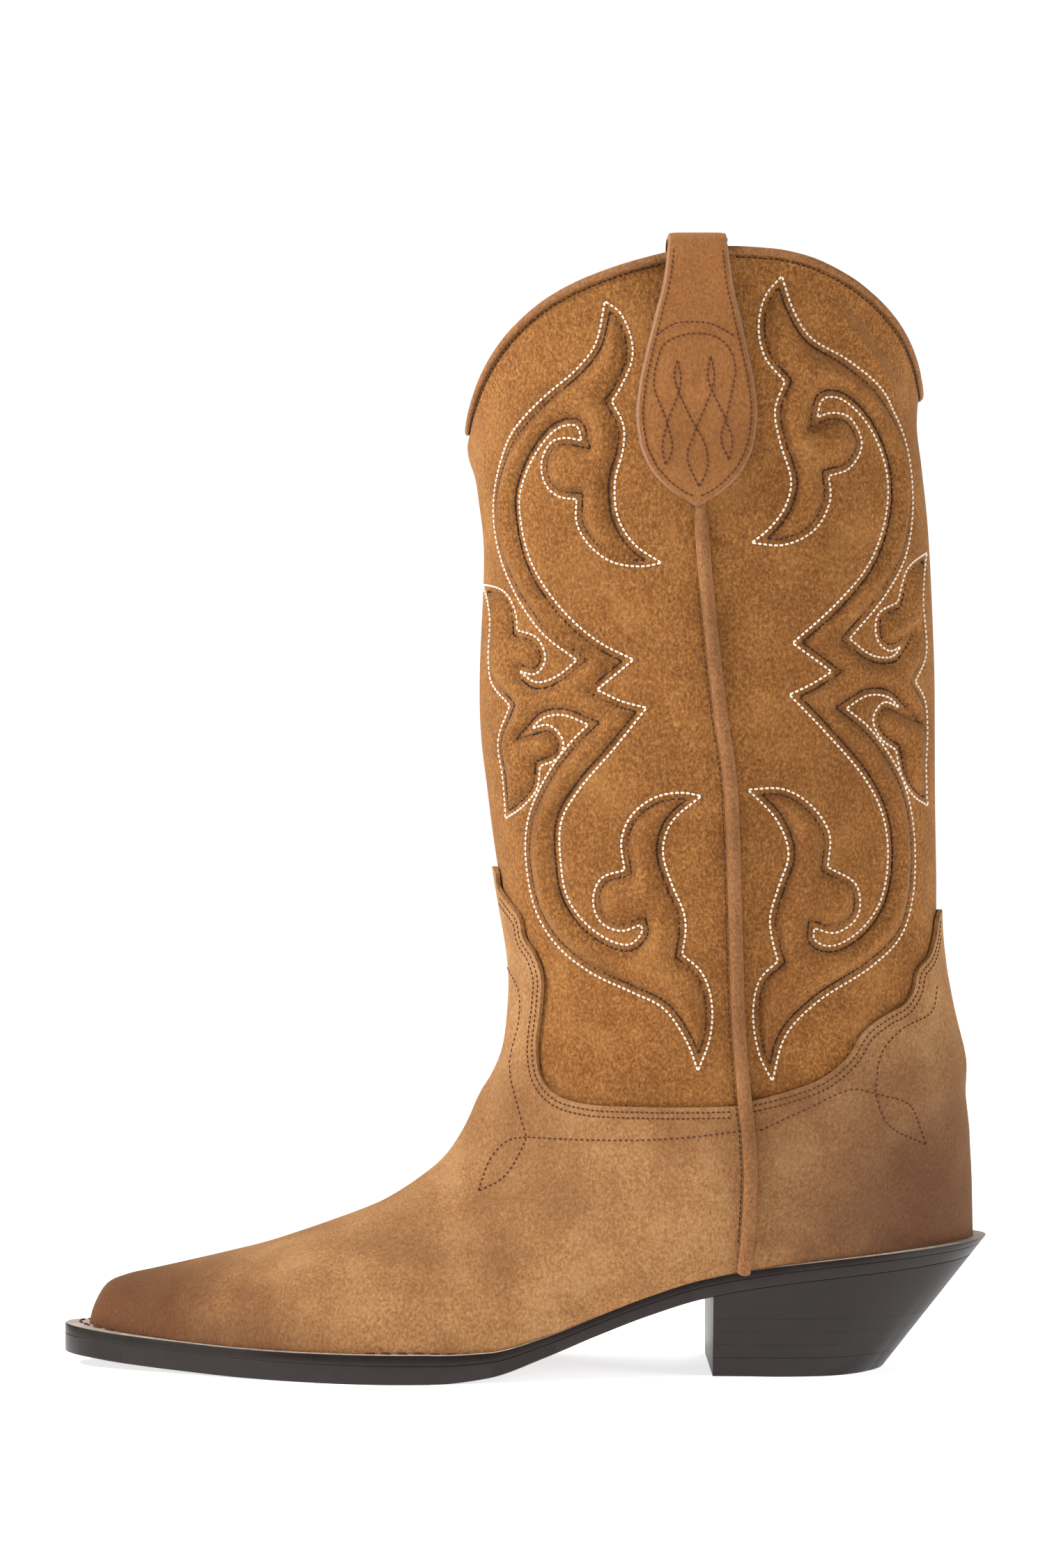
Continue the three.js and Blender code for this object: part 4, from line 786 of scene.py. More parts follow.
# %% Node helpers
def new_material(name):
    material = bpy.data.materials.new(name)
    material.use_nodes = True
    nodes, links = material.node_tree.nodes, material.node_tree.links
    return material, nodes, links, nodes["Principled BSDF"]


def add_node(nodes, kind, **inputs):
    node = nodes.new(kind)
    for key, value in inputs.items():
        if hasattr(node, key):
            setattr(node, key, value)
        else:
            node.inputs[key.replace("_", " ")].default_value = value
    return node


def srgb(text):
    """A colour from its usual hex name, as linear light."""
    values = [int(text[i : i + 2], 16) / 255 for i in (0, 2, 4)]
    return tuple(v / 12.92 if v <= 0.04045 else ((v + 0.055) / 1.055) ** 2.4 for v in values) + (1,)


# %% A node group for nap
def make_nap_group():
    group = bpy.data.node_groups.new("nap", "ShaderNodeTree")
    sockets = [
        ("Base", "NodeSocketColor"), ("Light", "NodeSocketColor"), ("Dark", "NodeSocketColor"),
        ("Speckle", "NodeSocketFloat"), ("Cloud", "NodeSocketFloat"),
    ]
    for name, kind in sockets:
        group.interface.new_socket(name, in_out="INPUT", socket_type=kind)
    group.interface.new_socket("Color", in_out="OUTPUT", socket_type="NodeSocketColor")
    group.interface.new_socket("Height", in_out="OUTPUT", socket_type="NodeSocketFloat")
    group.interface.new_socket("Fibre", in_out="OUTPUT", socket_type="NodeSocketFloat")
    nodes, links = group.nodes, group.links
    take = nodes.new("NodeGroupInput")
    give = nodes.new("NodeGroupOutput")
    place = nodes.new("ShaderNodeTexCoord")

    def noise(scale, detail, rough, stretch=None):
        node = add_node(nodes, "ShaderNodeTexNoise", Scale=scale, Detail=detail, Roughness=rough)
        if stretch:
            mapping = nodes.new("ShaderNodeMapping")
            mapping.inputs["Scale"].default_value = stretch
            links.new(place.outputs["Object"], mapping.inputs["Vector"])
            links.new(mapping.outputs["Vector"], node.inputs["Vector"])
        else:
            links.new(place.outputs["Object"], node.inputs["Vector"])
        return node.outputs["Fac"]

    def spread(value, low, high, out_low=0.0, out_high=1.0):
        node = add_node(nodes, "ShaderNodeMapRange")
        node.inputs["From Min"].default_value = low
        node.inputs["From Max"].default_value = high
        node.inputs["To Min"].default_value = out_low
        node.inputs["To Max"].default_value = out_high
        links.new(value, node.inputs["Value"])
        return node.outputs["Result"]

    def times(a, b):
        node = add_node(nodes, "ShaderNodeMath", operation="MULTIPLY")
        links.new(a, node.inputs[0])
        links.new(b, node.inputs[1])
        return node.outputs[0]

    def mixed(share, a, b):
        node = add_node(nodes, "ShaderNodeMix", data_type="RGBA")
        links.new(share, node.inputs[0])
        links.new(a, node.inputs[6])
        links.new(b, node.inputs[7])
        return node.outputs[2]

    fibre = noise(1250, 3, 0.75, (1, 1, 0.75))
    tuft = noise(820, 2, 0.6)
    patch = noise(62, 3, 0.55)
    cloud = noise(17, 3, 0.6)
    speckle, blotch = take.outputs["Speckle"], take.outputs["Cloud"]
    light, dark = take.outputs["Light"], take.outputs["Dark"]
    lit = mixed(times(spread(fibre, 0.50, 0.72), speckle), take.outputs["Base"], light)
    speckled = mixed(times(spread(fibre, 0.50, 0.30), speckle), lit, dark)
    tufted = mixed(times(spread(tuft, 0.52, 0.30, 0, 0.4), speckle), speckled, dark)
    patched = mixed(times(spread(patch, 0.5, 0.28, 0, 0.8), blotch), tufted, dark)
    lifted = mixed(times(spread(patch, 0.52, 0.75, 0, 0.7), blotch), patched, light)
    clouded = mixed(times(spread(cloud, 0.52, 0.30, 0, 0.9), blotch), lifted, dark)
    links.new(clouded, give.inputs["Color"])
    heights = add_node(nodes, "ShaderNodeMath", operation="ADD")
    links.new(fibre, heights.inputs[0])
    links.new(spread(tuft, 0, 1, 0, 0.8), heights.inputs[1])
    links.new(heights.outputs[0], give.inputs["Height"])
    links.new(spread(fibre, 0.3, 0.7), give.inputs["Fibre"])
    return group


NAP = make_nap_group()


# %% A node group for the dark cream on toe and heel
def make_burnish_group():
    group = bpy.data.node_groups.new("burnish", "ShaderNodeTree")
    group.interface.new_socket("Toe", in_out="OUTPUT", socket_type="NodeSocketFloat")
    group.interface.new_socket("Heel", in_out="OUTPUT", socket_type="NodeSocketFloat")
    group.interface.new_socket("Edge", in_out="OUTPUT", socket_type="NodeSocketFloat")
    nodes, links = group.nodes, group.links
    give = nodes.new("NodeGroupOutput")
    place = nodes.new("ShaderNodeTexCoord")
    split = nodes.new("ShaderNodeSeparateXYZ")
    links.new(place.outputs["Object"], split.inputs[0])
    rough = add_node(nodes, "ShaderNodeTexNoise", Scale=42.0, Detail=4.0, Roughness=0.6)
    links.new(place.outputs["Object"], rough.inputs["Vector"])

    def sum_of(*terms):
        """A sum of sockets times numbers, and plain numbers."""
        last = None
        for socket, factor in terms:
            node = add_node(nodes, "ShaderNodeMath", operation="MULTIPLY_ADD")
            links.new(socket, node.inputs[0])
            node.inputs[1].default_value = factor
            if last is None:
                node.inputs[2].default_value = 0
            else:
                links.new(last, node.inputs[2])
            last = node.outputs[0]
        return last

    def fall(value, start, end):
        node = add_node(nodes, "ShaderNodeMapRange", interpolation_type="SMOOTHSTEP")
        node.inputs["From Min"].default_value = start
        node.inputs["From Max"].default_value = end
        links.new(value, node.inputs["Value"])
        return node.outputs["Result"]

    x, z = split.outputs["X"], split.outputs["Z"]
    toe = fall(sum_of((x, 1.0), (z, 1.0), (rough.outputs["Fac"], 0.035)), -0.022, -0.078)
    heel_x = fall(sum_of((x, 1.0), (rough.outputs["Fac"], 0.04)), 0.062, 0.142)
    heel_z = fall(sum_of((z, 1.0), (rough.outputs["Fac"], 0.03)), 0.15, 0.066)
    heel = add_node(nodes, "ShaderNodeMath", operation="MULTIPLY")
    links.new(heel_x, heel.inputs[0])
    links.new(heel_z, heel.inputs[1])
    links.new(toe, give.inputs["Toe"])
    links.new(heel.outputs[0], give.inputs["Heel"])
    links.new(fall(rough.outputs["Fac"], 0.35, 0.7), give.inputs["Edge"])
    return group


BURNISH = make_burnish_group()


# %% Suede for the shaft, the foot and the trims
def make_suede(name, base, light, dark, speckle, cloud, burnished=False, groove_shade_tint=None):
    material, nodes, links, shader = new_material(name)
    nap = nodes.new("ShaderNodeGroup")
    nap.node_tree = NAP
    nap.inputs["Base"].default_value = srgb(base)
    nap.inputs["Light"].default_value = srgb(light)
    nap.inputs["Dark"].default_value = srgb(dark)
    nap.inputs["Speckle"].default_value = speckle
    nap.inputs["Cloud"].default_value = cloud
    colour = nap.outputs["Color"]
    if burnished:
        cream = nodes.new("ShaderNodeGroup")
        cream.node_tree = BURNISH
        for mask, tint, share in (("Toe", "4C2818", 0.82), ("Heel", "4E3125", 0.8)):
            strength = add_node(nodes, "ShaderNodeMath", operation="MULTIPLY")
            links.new(cream.outputs[mask], strength.inputs[0])
            strength.inputs[1].default_value = share
            layer = add_node(nodes, "ShaderNodeMix", data_type="RGBA")
            links.new(strength.outputs[0], layer.inputs[0])
            links.new(colour, layer.inputs[6])
            layer.inputs[7].default_value = srgb(tint)
            colour = layer.outputs[2]
    # Painted shade: the nap is darkened along the stitched brown rows, where the grooves lie in shade.
    if groove_shade_tint:
        groove_shade_node = add_node(nodes, "ShaderNodeAttribute", attribute_name="groove_shade")
        strength = add_node(nodes, "ShaderNodeMath", operation="MULTIPLY")
        links.new(groove_shade_node.outputs["Fac"], strength.inputs[0])
        strength.inputs[1].default_value = 0.5
        strength.use_clamp = True
        layer = add_node(nodes, "ShaderNodeMix", data_type="RGBA")
        links.new(strength.outputs[0], layer.inputs[0])
        links.new(colour, layer.inputs[6])
        layer.inputs[7].default_value = srgb(groove_shade_tint)
        colour = layer.outputs[2]
    links.new(colour, shader.inputs["Base Color"])
    bump = add_node(nodes, "ShaderNodeBump", Strength=0.7, Distance=0.0005)
    links.new(nap.outputs["Height"], bump.inputs["Height"])
    links.new(bump.outputs["Normal"], shader.inputs["Normal"])
    dry = add_node(nodes, "ShaderNodeMapRange")
    dry.inputs["To Min"].default_value = 0.82
    dry.inputs["To Max"].default_value = 0.98
    links.new(nap.outputs["Fibre"], dry.inputs["Value"])
    links.new(dry.outputs["Result"], shader.inputs["Roughness"])
    shader.inputs["Specular IOR Level"].default_value = 0.18
    shader.inputs["Sheen Weight"].default_value = 0.28
    shader.inputs["Sheen Roughness"].default_value = 0.45
    shader.inputs["Sheen Tint"].default_value = srgb("E2B884")
    return material


# The shaft suede gets painted shade in dark brown along its stitched brown rows.
SHAFT_SUEDE = make_suede("shaft suede", "8A582A", "B6834B", "573111", 0.9, 0.36, groove_shade_tint="41220C")
FOOT_SUEDE = make_suede("foot suede", "9F7145", "BE976A", "6E4629", 0.75, 0.5, burnished=True)
TRIM_SUEDE = make_suede("trim suede", "8C5E3A", "AE8056", "5E3C22", 0.7, 0.35)
STRAP_SUEDE = make_suede("strap suede", "8E5B31", "AB7A48", "673D1F", 0.6, 0.3)
CUT_EDGE = make_suede("cut leather edge", "8A6650", "A88A74", "684A38", 0.5, 0.3)


# %% [markdown]
# The sole's edge and the heel are painted almost black and polished with wax. The welt's top is left in
# its natural pale leather. Thread is plain twisted cotton. Inner pieces get quiet finishes of their own.

# %% Other finishes
def make_grained(
    name, base, second, scale, roughness, bump_strength,
    distance=0.0003, metal=0.0, gloss_level=0.35,
):
    """A finish with soft variation in colour and a fine grain."""
    material, nodes, links, shader = new_material(name)
    place = nodes.new("ShaderNodeTexCoord")
    broad = add_node(nodes, "ShaderNodeTexNoise", Scale=scale / 12, Detail=4.0, Roughness=0.6)
    fine = add_node(nodes, "ShaderNodeTexNoise", Scale=float(scale), Detail=3.0, Roughness=0.65)
    for node in (broad, fine):
        links.new(place.outputs["Object"], node.inputs["Vector"])
    both = add_node(nodes, "ShaderNodeMath", operation="MULTIPLY_ADD")
    links.new(fine.outputs["Fac"], both.inputs[0])
    both.inputs[1].default_value = 0.6
    half = add_node(nodes, "ShaderNodeMath", operation="MULTIPLY")
    half.inputs[1].default_value = 0.4
    links.new(broad.outputs["Fac"], half.inputs[0])
    links.new(half.outputs[0], both.inputs[2])
    ramp = nodes.new("ShaderNodeValToRGB")
    ramp.color_ramp.elements[0].position = 0.34
    ramp.color_ramp.elements[0].color = srgb(second)
    ramp.color_ramp.elements[1].position = 0.62
    ramp.color_ramp.elements[1].color = srgb(base)
    links.new(both.outputs[0], ramp.inputs["Fac"])
    links.new(ramp.outputs["Color"], shader.inputs["Base Color"])
    gloss = add_node(nodes, "ShaderNodeMapRange")
    gloss.inputs["From Min"].default_value = 0.3
    gloss.inputs["From Max"].default_value = 0.7
    gloss.inputs["To Min"].default_value = max(roughness - 0.09, 0.05)
    gloss.inputs["To Max"].default_value = min(roughness + 0.09, 1)
    links.new(broad.outputs["Fac"], gloss.inputs["Value"])
    links.new(gloss.outputs["Result"], shader.inputs["Roughness"])
    bump = add_node(nodes, "ShaderNodeBump", Strength=bump_strength, Distance=distance)
    links.new(fine.outputs["Fac"], bump.inputs["Height"])
    links.new(bump.outputs["Normal"], shader.inputs["Normal"])
    shader.inputs["Metallic"].default_value = metal
    shader.inputs["Specular IOR Level"].default_value = gloss_level
    return material


EDGE_PAINT = make_grained("edge paint", "1E120D", "130B08", 260, 0.38, 0.12)
HEEL_PAINT = make_grained("heel paint", "1B0F0B", "130A07", 120, 0.42, 0.05)
RUBBER = make_grained("rubber", "241C1A", "1A1413", 900, 0.6, 0.25)
WELT_TOP = make_grained("welt leather", "B9ADA0", "8D7F72", 420, 0.6, 0.3)
OUTSOLE_FACE = make_grained("outsole leather", "3A2A22", "2B1F1A", 300, 0.5, 0.2)
PIGSKIN = make_grained("pigskin lining", "C9A676", "A98655", 1100, 0.62, 0.5)
FOAM = make_grained("foam", "DAD4C6", "BFB8A8", 1500, 0.95, 0.6)
STIFFENER = make_grained("stiffener board", "BDAB8E", "9C8B70", 700, 0.85, 0.3)
BOARD = make_grained("insole board", "B59468", "94764F", 600, 0.8, 0.3)
CORK = make_grained("cork", "7E5D3D", "4C3523", 330, 0.95, 0.8)
STEEL = make_grained("spring steel", "A6A6A4", "8A8A88", 900, 0.32, 0.1, metal=1.0)
BRASS = make_grained("brass", "C09A56", "9A763B", 900, 0.3, 0.1, metal=1.0)
WHITE_THREAD = make_grained("cream thread", "FBF3E6", "DFCBAE", 2600, 0.7, 0.6)
BROWN_THREAD = make_grained("dark thread", "2E180B", "1C0D05", 2600, 0.7, 0.6)
TAN_THREAD = make_grained("brown thread", "5A2C15", "35190B", 2600, 0.7, 0.6)

# %% [markdown]
# ## Shaft panels
# The front and the back of the shaft are two pieces of suede that meet at the side seams. Each is one
# sheet wrapped round the boot. The grid's columns run down the leg and its rows go round it.

# %% Panels of the shaft
def foot_row(share, is_front):
    """The section at which a column of the shaft ends, under the vamp or the counter cover."""
    foot = front_foot if is_front else back_foot
    low, high = np.full(share.shape, 6.0), np.full(share.shape, 13.0)
    for _ in range(24):
        v = (low + high) / 2
        p = skin(v, column_turn(v, share, is_front), -1)
        above = p[:, 2] > foot(p[:, 0])
        low, high = np.where(above, v, low), np.where(above, high, v)
    return low


def panel_places(u, w, is_front, top_drop=0.0):
    """Section, turn and side for shares across and down a shaft panel."""
    across = 2 * u - 1
    side = np.where(across < 0, -1.0, 1.0)
    share = np.abs(across)
    if not is_front:
        share = 1 - share
    steps, back = np.unique(np.round(share, 7), return_inverse=True)
    top = topline_row(steps, is_front)[back] + top_drop
    low = foot_row(steps, is_front)[back]
    v = top + (low - top) * w
    return v, column_turn(v, share, is_front), side


def note_groove_shade(piece, is_front):
    """Stores the painted shade along the brown rows at each corner of a panel."""
    points = np.array([v.co[:] for v in piece.data.vertices]) / MM
    v, turn = locate(points[:, 0], points[:, 2])
    values = PATTERNS["front" if is_front else "back"].groove_shade(skin(v, turn, -1.0))
    layer = piece.data.attributes.new("groove_shade", "FLOAT", "POINT")
    layer.data.foreach_set("value", values)


def make_shaft_panel(name, is_front, depth, thickness, across, down, puffed):
    piece, u, w = fresh_grid(name, across, down)
    v, turn, side = panel_places(u, w, is_front)
    points = skin(v, turn, side, depth)
    if puffed:
        outer = skin(v, turn, -1.0)
        normal = normal_at(v, turn, side)
        points = points + normal * shaft_relief(outer, is_front)[:, None]
    put_points(piece, points)
    in_edit(piece, merge, face_out)
    if outward(piece) < 0:
        in_edit(piece, bpy.ops.mesh.flip_normals)
    if puffed:
        # painted shade for the stitched grooves, kept on the panel for its material
        note_groove_shade(piece, is_front)
    thicken(piece, thickness)
    smooth_by(piece, 50)
    return piece


def outward(piece):
    """Above 0 if most faces of an open sheet look away from the boot's middle axis."""
    total = 0
    for face in list(piece.data.polygons)[:: max(len(piece.data.polygons) // 400, 1)]:
        c = face.center
        middle = Vector((0.055 if c.z > 0.09 else min(max(c.x, -0.1), 0.1), 0, max(0.03, c.z - 0.012)))
        total += (c - middle).dot(face.normal) * face.area
    return total


shaft_front = make_shaft_panel("shaft_front_leather", True, 0, LEATHER, 170, 262, True)
finish_piece(shaft_front, ["shaft_front"], "suede", SHAFT_SUEDE, CUT_EDGE)
shaft_back = make_shaft_panel("shaft_back_leather", False, 0, LEATHER, 150, 258, True)
finish_piece(shaft_back, ["shaft_back"], "suede", SHAFT_SUEDE, CUT_EDGE)

# %% The lining of the shaft
for half, is_front in (("front", True), ("back", False)):
    lining = make_shaft_panel(f"shaft_lining_{half}_leather", is_front, 4.2, 1.0, 60, 90, False)
    finish_piece(lining, [f"shaft_lining_{half}"], "pigskin", PIGSKIN, PIGSKIN)

# %% [markdown]
# ## Vamp and counter cover
# The vamp is the leather over the foot with its tongue on the ankle. The counter cover wraps the heel.
# Both are cut along a shaped edge, so the grid is carried onto the boot first. Then the corners past
# the edge are dropped, and those next to it are pulled onto the edge line.

# %% Trimming a sheet along a line of the side view
class EdgeLine:
    def __init__(self, pairs):
        self.line = resample(Bow(pairs).point(np.linspace(0, len(pairs) - 1, 40 * len(pairs))), 0.25)
        _, turn = locate(self.line[:, 0], self.line[:, 1])
        self.on_boot = self.line[(turn > 0.001) & (turn < 1.999)]
        self.tree = KDTree(len(self.on_boot))
        for i, (x, z) in enumerate(self.on_boot):
            self.tree.insert((x, z, 0), i)
        self.tree.balance()
        first, last = self.line[0], self.line[-1]
        self.polygon = np.vstack([
            [(-300, -100), (-300, first[1])], self.line, [(300, last[1]), (300, -100)],
        ])

    def below(self, x, z):
        return inside(x, z, self.polygon)

    def nearest(self, x, z):
        found = [self.tree.find((a, b, 0)) for a, b in zip(x, z)]
        return self.on_boot[[f[1] for f in found]]


def ease_heel(piece):
    """Relaxes the leather just above the seat at the back, where the maker hammers it smooth."""
    at = np.array([v.co[:] for v in piece.data.vertices]) / MM
    over_seat = at[:, 2] - seat_at(at[:, 0])
    chosen = (at[:, 0] > 84) & (over_seat > 1.2) & (over_seat < 34)
    bpy.ops.object.select_all(action="DESELECT")
    piece.select_set(True)
    bpy.context.view_layer.objects.active = piece
    bpy.ops.object.mode_set(mode="EDIT")
    bpy.ops.mesh.select_all(action="DESELECT")
    bpy.ops.object.mode_set(mode="OBJECT")
    piece.data.vertices.foreach_set("select", chosen)
    bpy.ops.object.mode_set(mode="EDIT")
    bpy.ops.mesh.vertices_smooth(factor=0.5, repeat=40)
    bpy.ops.object.mode_set(mode="OBJECT")


def trimmed_grid(name, across, along, places, edge, lift):
    """A sheet on the boot, kept below an edge line. places gives (section, turn, side)."""
    piece, u, w = fresh_grid(name, across, along)
    v, turn, side = places(u, w)
    flat = skin(v, turn, side)
    x, z = flat[:, 0], flat[:, 2]
    keep = edge.below(x, z)
    faces = np.array([list(f.vertices) for f in piece.data.polygons])
    kept = keep[faces].sum(axis=1) >= 2
    used = np.zeros(len(x), bool)
    used[faces[kept].ravel()] = True
    cut = np.zeros(len(x), bool)
    cut[faces[~kept].ravel()] = True
    border = used & cut
    onto = edge.nearest(x[border], z[border])
    new_v, new_turn = locate(onto[:, 0], onto[:, 1])
    middle = (turn[border] < 0.001) | (turn[border] > 1.999)
    v, turn = v.copy(), turn.copy()
    v[border], turn[border] = new_v, np.where(middle, turn[border], new_turn)
    rise = lift(skin(v, turn, side)[:, 0], skin(v, turn, side)[:, 2])
    points = skin(v, turn, side) + normal_at(v, turn, side) * rise[:, None]
    put_points(piece, points)
    mesh = bmesh.new()
    mesh.from_mesh(piece.data)
    mesh.faces.ensure_lookup_table()
    gone = [mesh.faces[i] for i in np.nonzero(~kept)[0]]
    bmesh.ops.delete(mesh, geom=gone, context="FACES")
    mesh.to_mesh(piece.data)
    mesh.free()
    in_edit(piece, merge, face_out)
    if outward(piece) < 0:
        in_edit(piece, bpy.ops.mesh.flip_normals)
    ease_heel(piece)
    thicken(piece, LEATHER)
    smooth_by(piece, 50)
    return piece


def even_rows(first, last, count, turn):
    """Sections spaced evenly along the boot at one turn."""
    v = np.linspace(first, last, 400)
    line = skin(v, np.full(400, turn), -1.0)
    side_line = skin(v, np.full(400, 1.6), -1.0)
    gaps = np.maximum(
        np.linalg.norm(np.diff(line, axis=0), axis=1), np.linalg.norm(np.diff(side_line, axis=0), axis=1)
    )
    run = np.concatenate([[0], np.cumsum(gaps)])
    return np.interp(np.linspace(0, run[-1], count + 1), run, v)


# %% Vamp
VAMP_ROWS = even_rows(6.8, LAST, 258, 0.02)


def vamp_places(u, w):
    across = 2 * u - 1
    v = VAMP_ROWS[np.rint(w * (len(VAMP_ROWS) - 1)).astype(int)]
    side = np.where(across < 0, -1.0, 1.0)
    return v, column_turn(v, np.abs(across), True), side


vamp_edge = EdgeLine(VAMP_EDGE)
vamp = trimmed_grid("vamp_leather", 130, 258, vamp_places, vamp_edge, front_lift)
finish_piece(vamp, ["vamp"], "suede", FOOT_SUEDE, CUT_EDGE)

# %% Counter cover
COUNTER_ROWS = even_rows(7.1, 20.05, 168, 1.5)


def counter_places(u, w):
    across = 2 * u - 1
    v = COUNTER_ROWS[np.rint(w * (len(COUNTER_ROWS) - 1)).astype(int)]
    side = np.where(across < 0, -1.0, 1.0)
    return v, column_turn(v, 1 - np.abs(across), False), side


counter_edge = EdgeLine(COUNTER_EDGE)
counter = trimmed_grid("counter_leather", 150, 168, counter_places, counter_edge, back_lift)
finish_piece(counter, ["counter_cover"], "suede", FOOT_SUEDE, CUT_EDGE)

# %% [markdown]
# ## Stitches
# One stitch is a short length of thread that dips into the leather at both ends. It is modelled once,
# with few faces, and copied along every row.

# %% One stitch
bpy.ops.object.select_all(action="DESELECT")
bpy.ops.mesh.primitive_uv_sphere_add(segments=6, ring_count=4, radius=1)
one_stitch = bpy.context.object
one_stitch.name = "one_stitch"
STITCH = np.array([v.co[:] for v in one_stitch.data.vertices])
STITCH_FACES = [list(f.vertices) for f in one_stitch.data.polygons]
bpy.data.objects.remove(one_stitch)
along = STITCH[:, 2]
round_ = np.where(np.abs(along) > 0.9, 0, np.where(np.abs(along) > 0.3, 0.86, 1.0))
ring = unit(STITCH[:, :2] + 1e-9) * round_[:, None]
STITCH_SHAPE = np.stack([np.sign(along) * np.abs(along) ** 0.8, ring[:, 0], ring[:, 1]], axis=1)


class Thread:
    """Collects the stitches of one thread."""

    def __init__(self, radius, length, sink=0.9):
        self.radius, self.length, self.sink = radius, length, sink
        self.at, self.way, self.up = [], [], []

    def sew(self, points, normals, pitch):
        """Stitches along a line of points on the leather, each with its normal."""
        both = resample(np.hstack([points, normals]), pitch)
        at, up = both[:, :3], unit(both[:, 3:])
        middle = (at[1:] + at[:-1]) / 2
        self.at.append(middle)
        self.way.append(unit(at[1:] - at[:-1]))
        self.up.append(unit(up[1:] + up[:-1]))

    def count(self):
        return sum(len(a) for a in self.at)

    def mesh(self, name):
        at, way, up = np.vstack(self.at), np.vstack(self.way), np.vstack(self.up)
        across = unit(np.cross(up, way))
        up = np.cross(way, across)
        t, y, z = STITCH_SHAPE.T
        rise = z * self.radius - self.sink * self.radius * np.abs(t) ** 2.5 + self.radius * 0.45
        points = (
            at[:, None]
            + way[:, None] * (t * self.length / 2)[None, :, None]
            + across[:, None] * (y * self.radius)[None, :, None]
            + up[:, None] * rise[None, :, None]
        ).reshape(-1, 3)
        size = len(STITCH_SHAPE)
        faces = [[i + size * k for i in face] for k in range(len(at)) for face in STITCH_FACES]
        data = bpy.data.meshes.new(name)
        data.from_pydata((points * MM).tolist(), [], faces)
        piece = bpy.data.objects.new(name, data)
        bpy.context.scene.collection.objects.link(piece)
        in_edit(piece, face_out)
        smooth_by(piece, 80)
        return piece


def on_leather(line, side, height=0.0, lift=None, relief=None):
    """Points and normals on the leather for a line of the side view."""
    x, z = line[:, 0], line[:, 1]
    v, turn = locate(x, z)
    at, normal = skin(v, turn, side), normal_at(v, turn, side)
    rise = np.full(len(x), float(height))
    if lift:
        rise = rise + lift(x, z)
    if relief is not None:
        rise = rise + shaft_relief(skin(v, turn, -1.0), relief)
    return at + normal * rise[:, None], normal


# %% Rows on the shaft
for half, is_front in (("front", True), ("back", False)):
    pattern = PATTERNS[half]
    white, brown = Thread(0.36, 1.3), Thread(0.3, 1.6)
    for side in (-1.0, 1.0):
        for run in pattern.white:
            white.sew(*on_leather(run, side, 0.0, relief=is_front), 1.66)
        for run in pattern.brown:
            if len(run) > 3:
                brown.sew(*on_leather(run, side, -0.02, relief=is_front), 1.66)
    finish_piece(white.mesh(f"shaft_{half}_cream_stitches"), [], "suede", WHITE_THREAD)
    finish_piece(brown.mesh(f"shaft_{half}_dark_stitches"), [], "suede", BROWN_THREAD)
    print(half, "stitches:", white.count(), "and", brown.count())

# %% Rows on the foot
FOOT_ROWS = (1.5, 3.3)  # distances of the two rows from the cut edge
FOOT_STITCH = 1.55
LINE_STITCH = 1.75
VAMP_SPAN = (-6.5, 63)
COUNTER_SPAN = (69, 127)


def edge_row(line, distance, span):
    """The row beside a cut edge, kept between two places along the boot."""
    row = beside(resample(line, 0.5), distance)
    return row[(row[:, 0] > span[0]) & (row[:, 0] < span[1])]


foot_thread = Thread(0.24, 1.15)
for side in (-1.0, 1.0):
    for distance in FOOT_ROWS:
        row = edge_row(vamp_edge.line, distance, VAMP_SPAN)
        foot_thread.sew(*on_leather(row, side, 0.0, front_lift), FOOT_STITCH)
        row = edge_row(counter_edge.line, distance, COUNTER_SPAN)
        foot_thread.sew(*on_leather(row, side, 0.0, back_lift), FOOT_STITCH)
    for run in VAMP_LINES:
        foot_thread.sew(*on_leather(smooth_run(run), side, 0.0, front_lift), LINE_STITCH)
    for run in COUNTER_LINES:
        foot_thread.sew(*on_leather(smooth_run(run), side, 0.0, back_lift), LINE_STITCH)
finish_piece(foot_thread.mesh("foot_stitches"), [], "suede", TAN_THREAD)

# %% [markdown]
# ## Side welt
# A strip of suede folded into a round bead covers the seam between front and back. It is lofted along
# the seam, with a row of dark stitches close on its toe side.

# %% Piping on both sides
SEAM_FOOT = float(seat_at(66)) + 2
for side, word in ((-1.0, "left"), (1.0, "right")):
    heights = np.linspace(SEAM_FOOT + 0.5, 338, 220)
    x = seam_at(heights)
    at, normal = wall(x, heights, side)
    way = unit(np.gradient(at, axis=0))
    across = unit(np.cross(way, normal))
    flat = ease(256, 266, heights)
    under = np.maximum(front_lift(x, heights), back_lift(x, heights)) * (1 - ease(86, 96, heights))
    angle = np.linspace(0, math.pi, 11)
    rings = []
    for k in range(len(heights)):
        half = 2.1 - 0.6 * flat[k]
        height = 2.3 * (1 - 0.72 * flat[k])
        base = 0.35 + under[k]
        ring = [(half * math.cos(a), base + height * math.sin(a) ** 0.8) for a in angle]
        ring += [(-0.5, base), (-0.5, -1.0), (0.5, -1.0), (0.5, base)]
        rings.append([at[k] + across[k] * a + normal[k] * n for a, n in ring])
    piping = loft(f"piping_{word}", rings)
    smooth_by(piping, 50)
    finish_piece(piping, [f"side_welt_{word}"], "trim_suede", TRIM_SUEDE)
    thread = Thread(0.17, 1.35)
    row = np.stack([seam_at(heights) - 2.9, heights], axis=1)[6:150]
    thread.sew(*on_leather(row, side, 0.0, front_lift), 1.7)
    finish_piece(thread.mesh(f"piping_{word}_stitches"), [], "trim_suede", BROWN_THREAD)

# %% [markdown]
# ## Top edge
# The shaft's raw edge is covered by a narrow strip of suede, turned over it from outside to inside and
# sewn just below. In profile it is a small round roll.

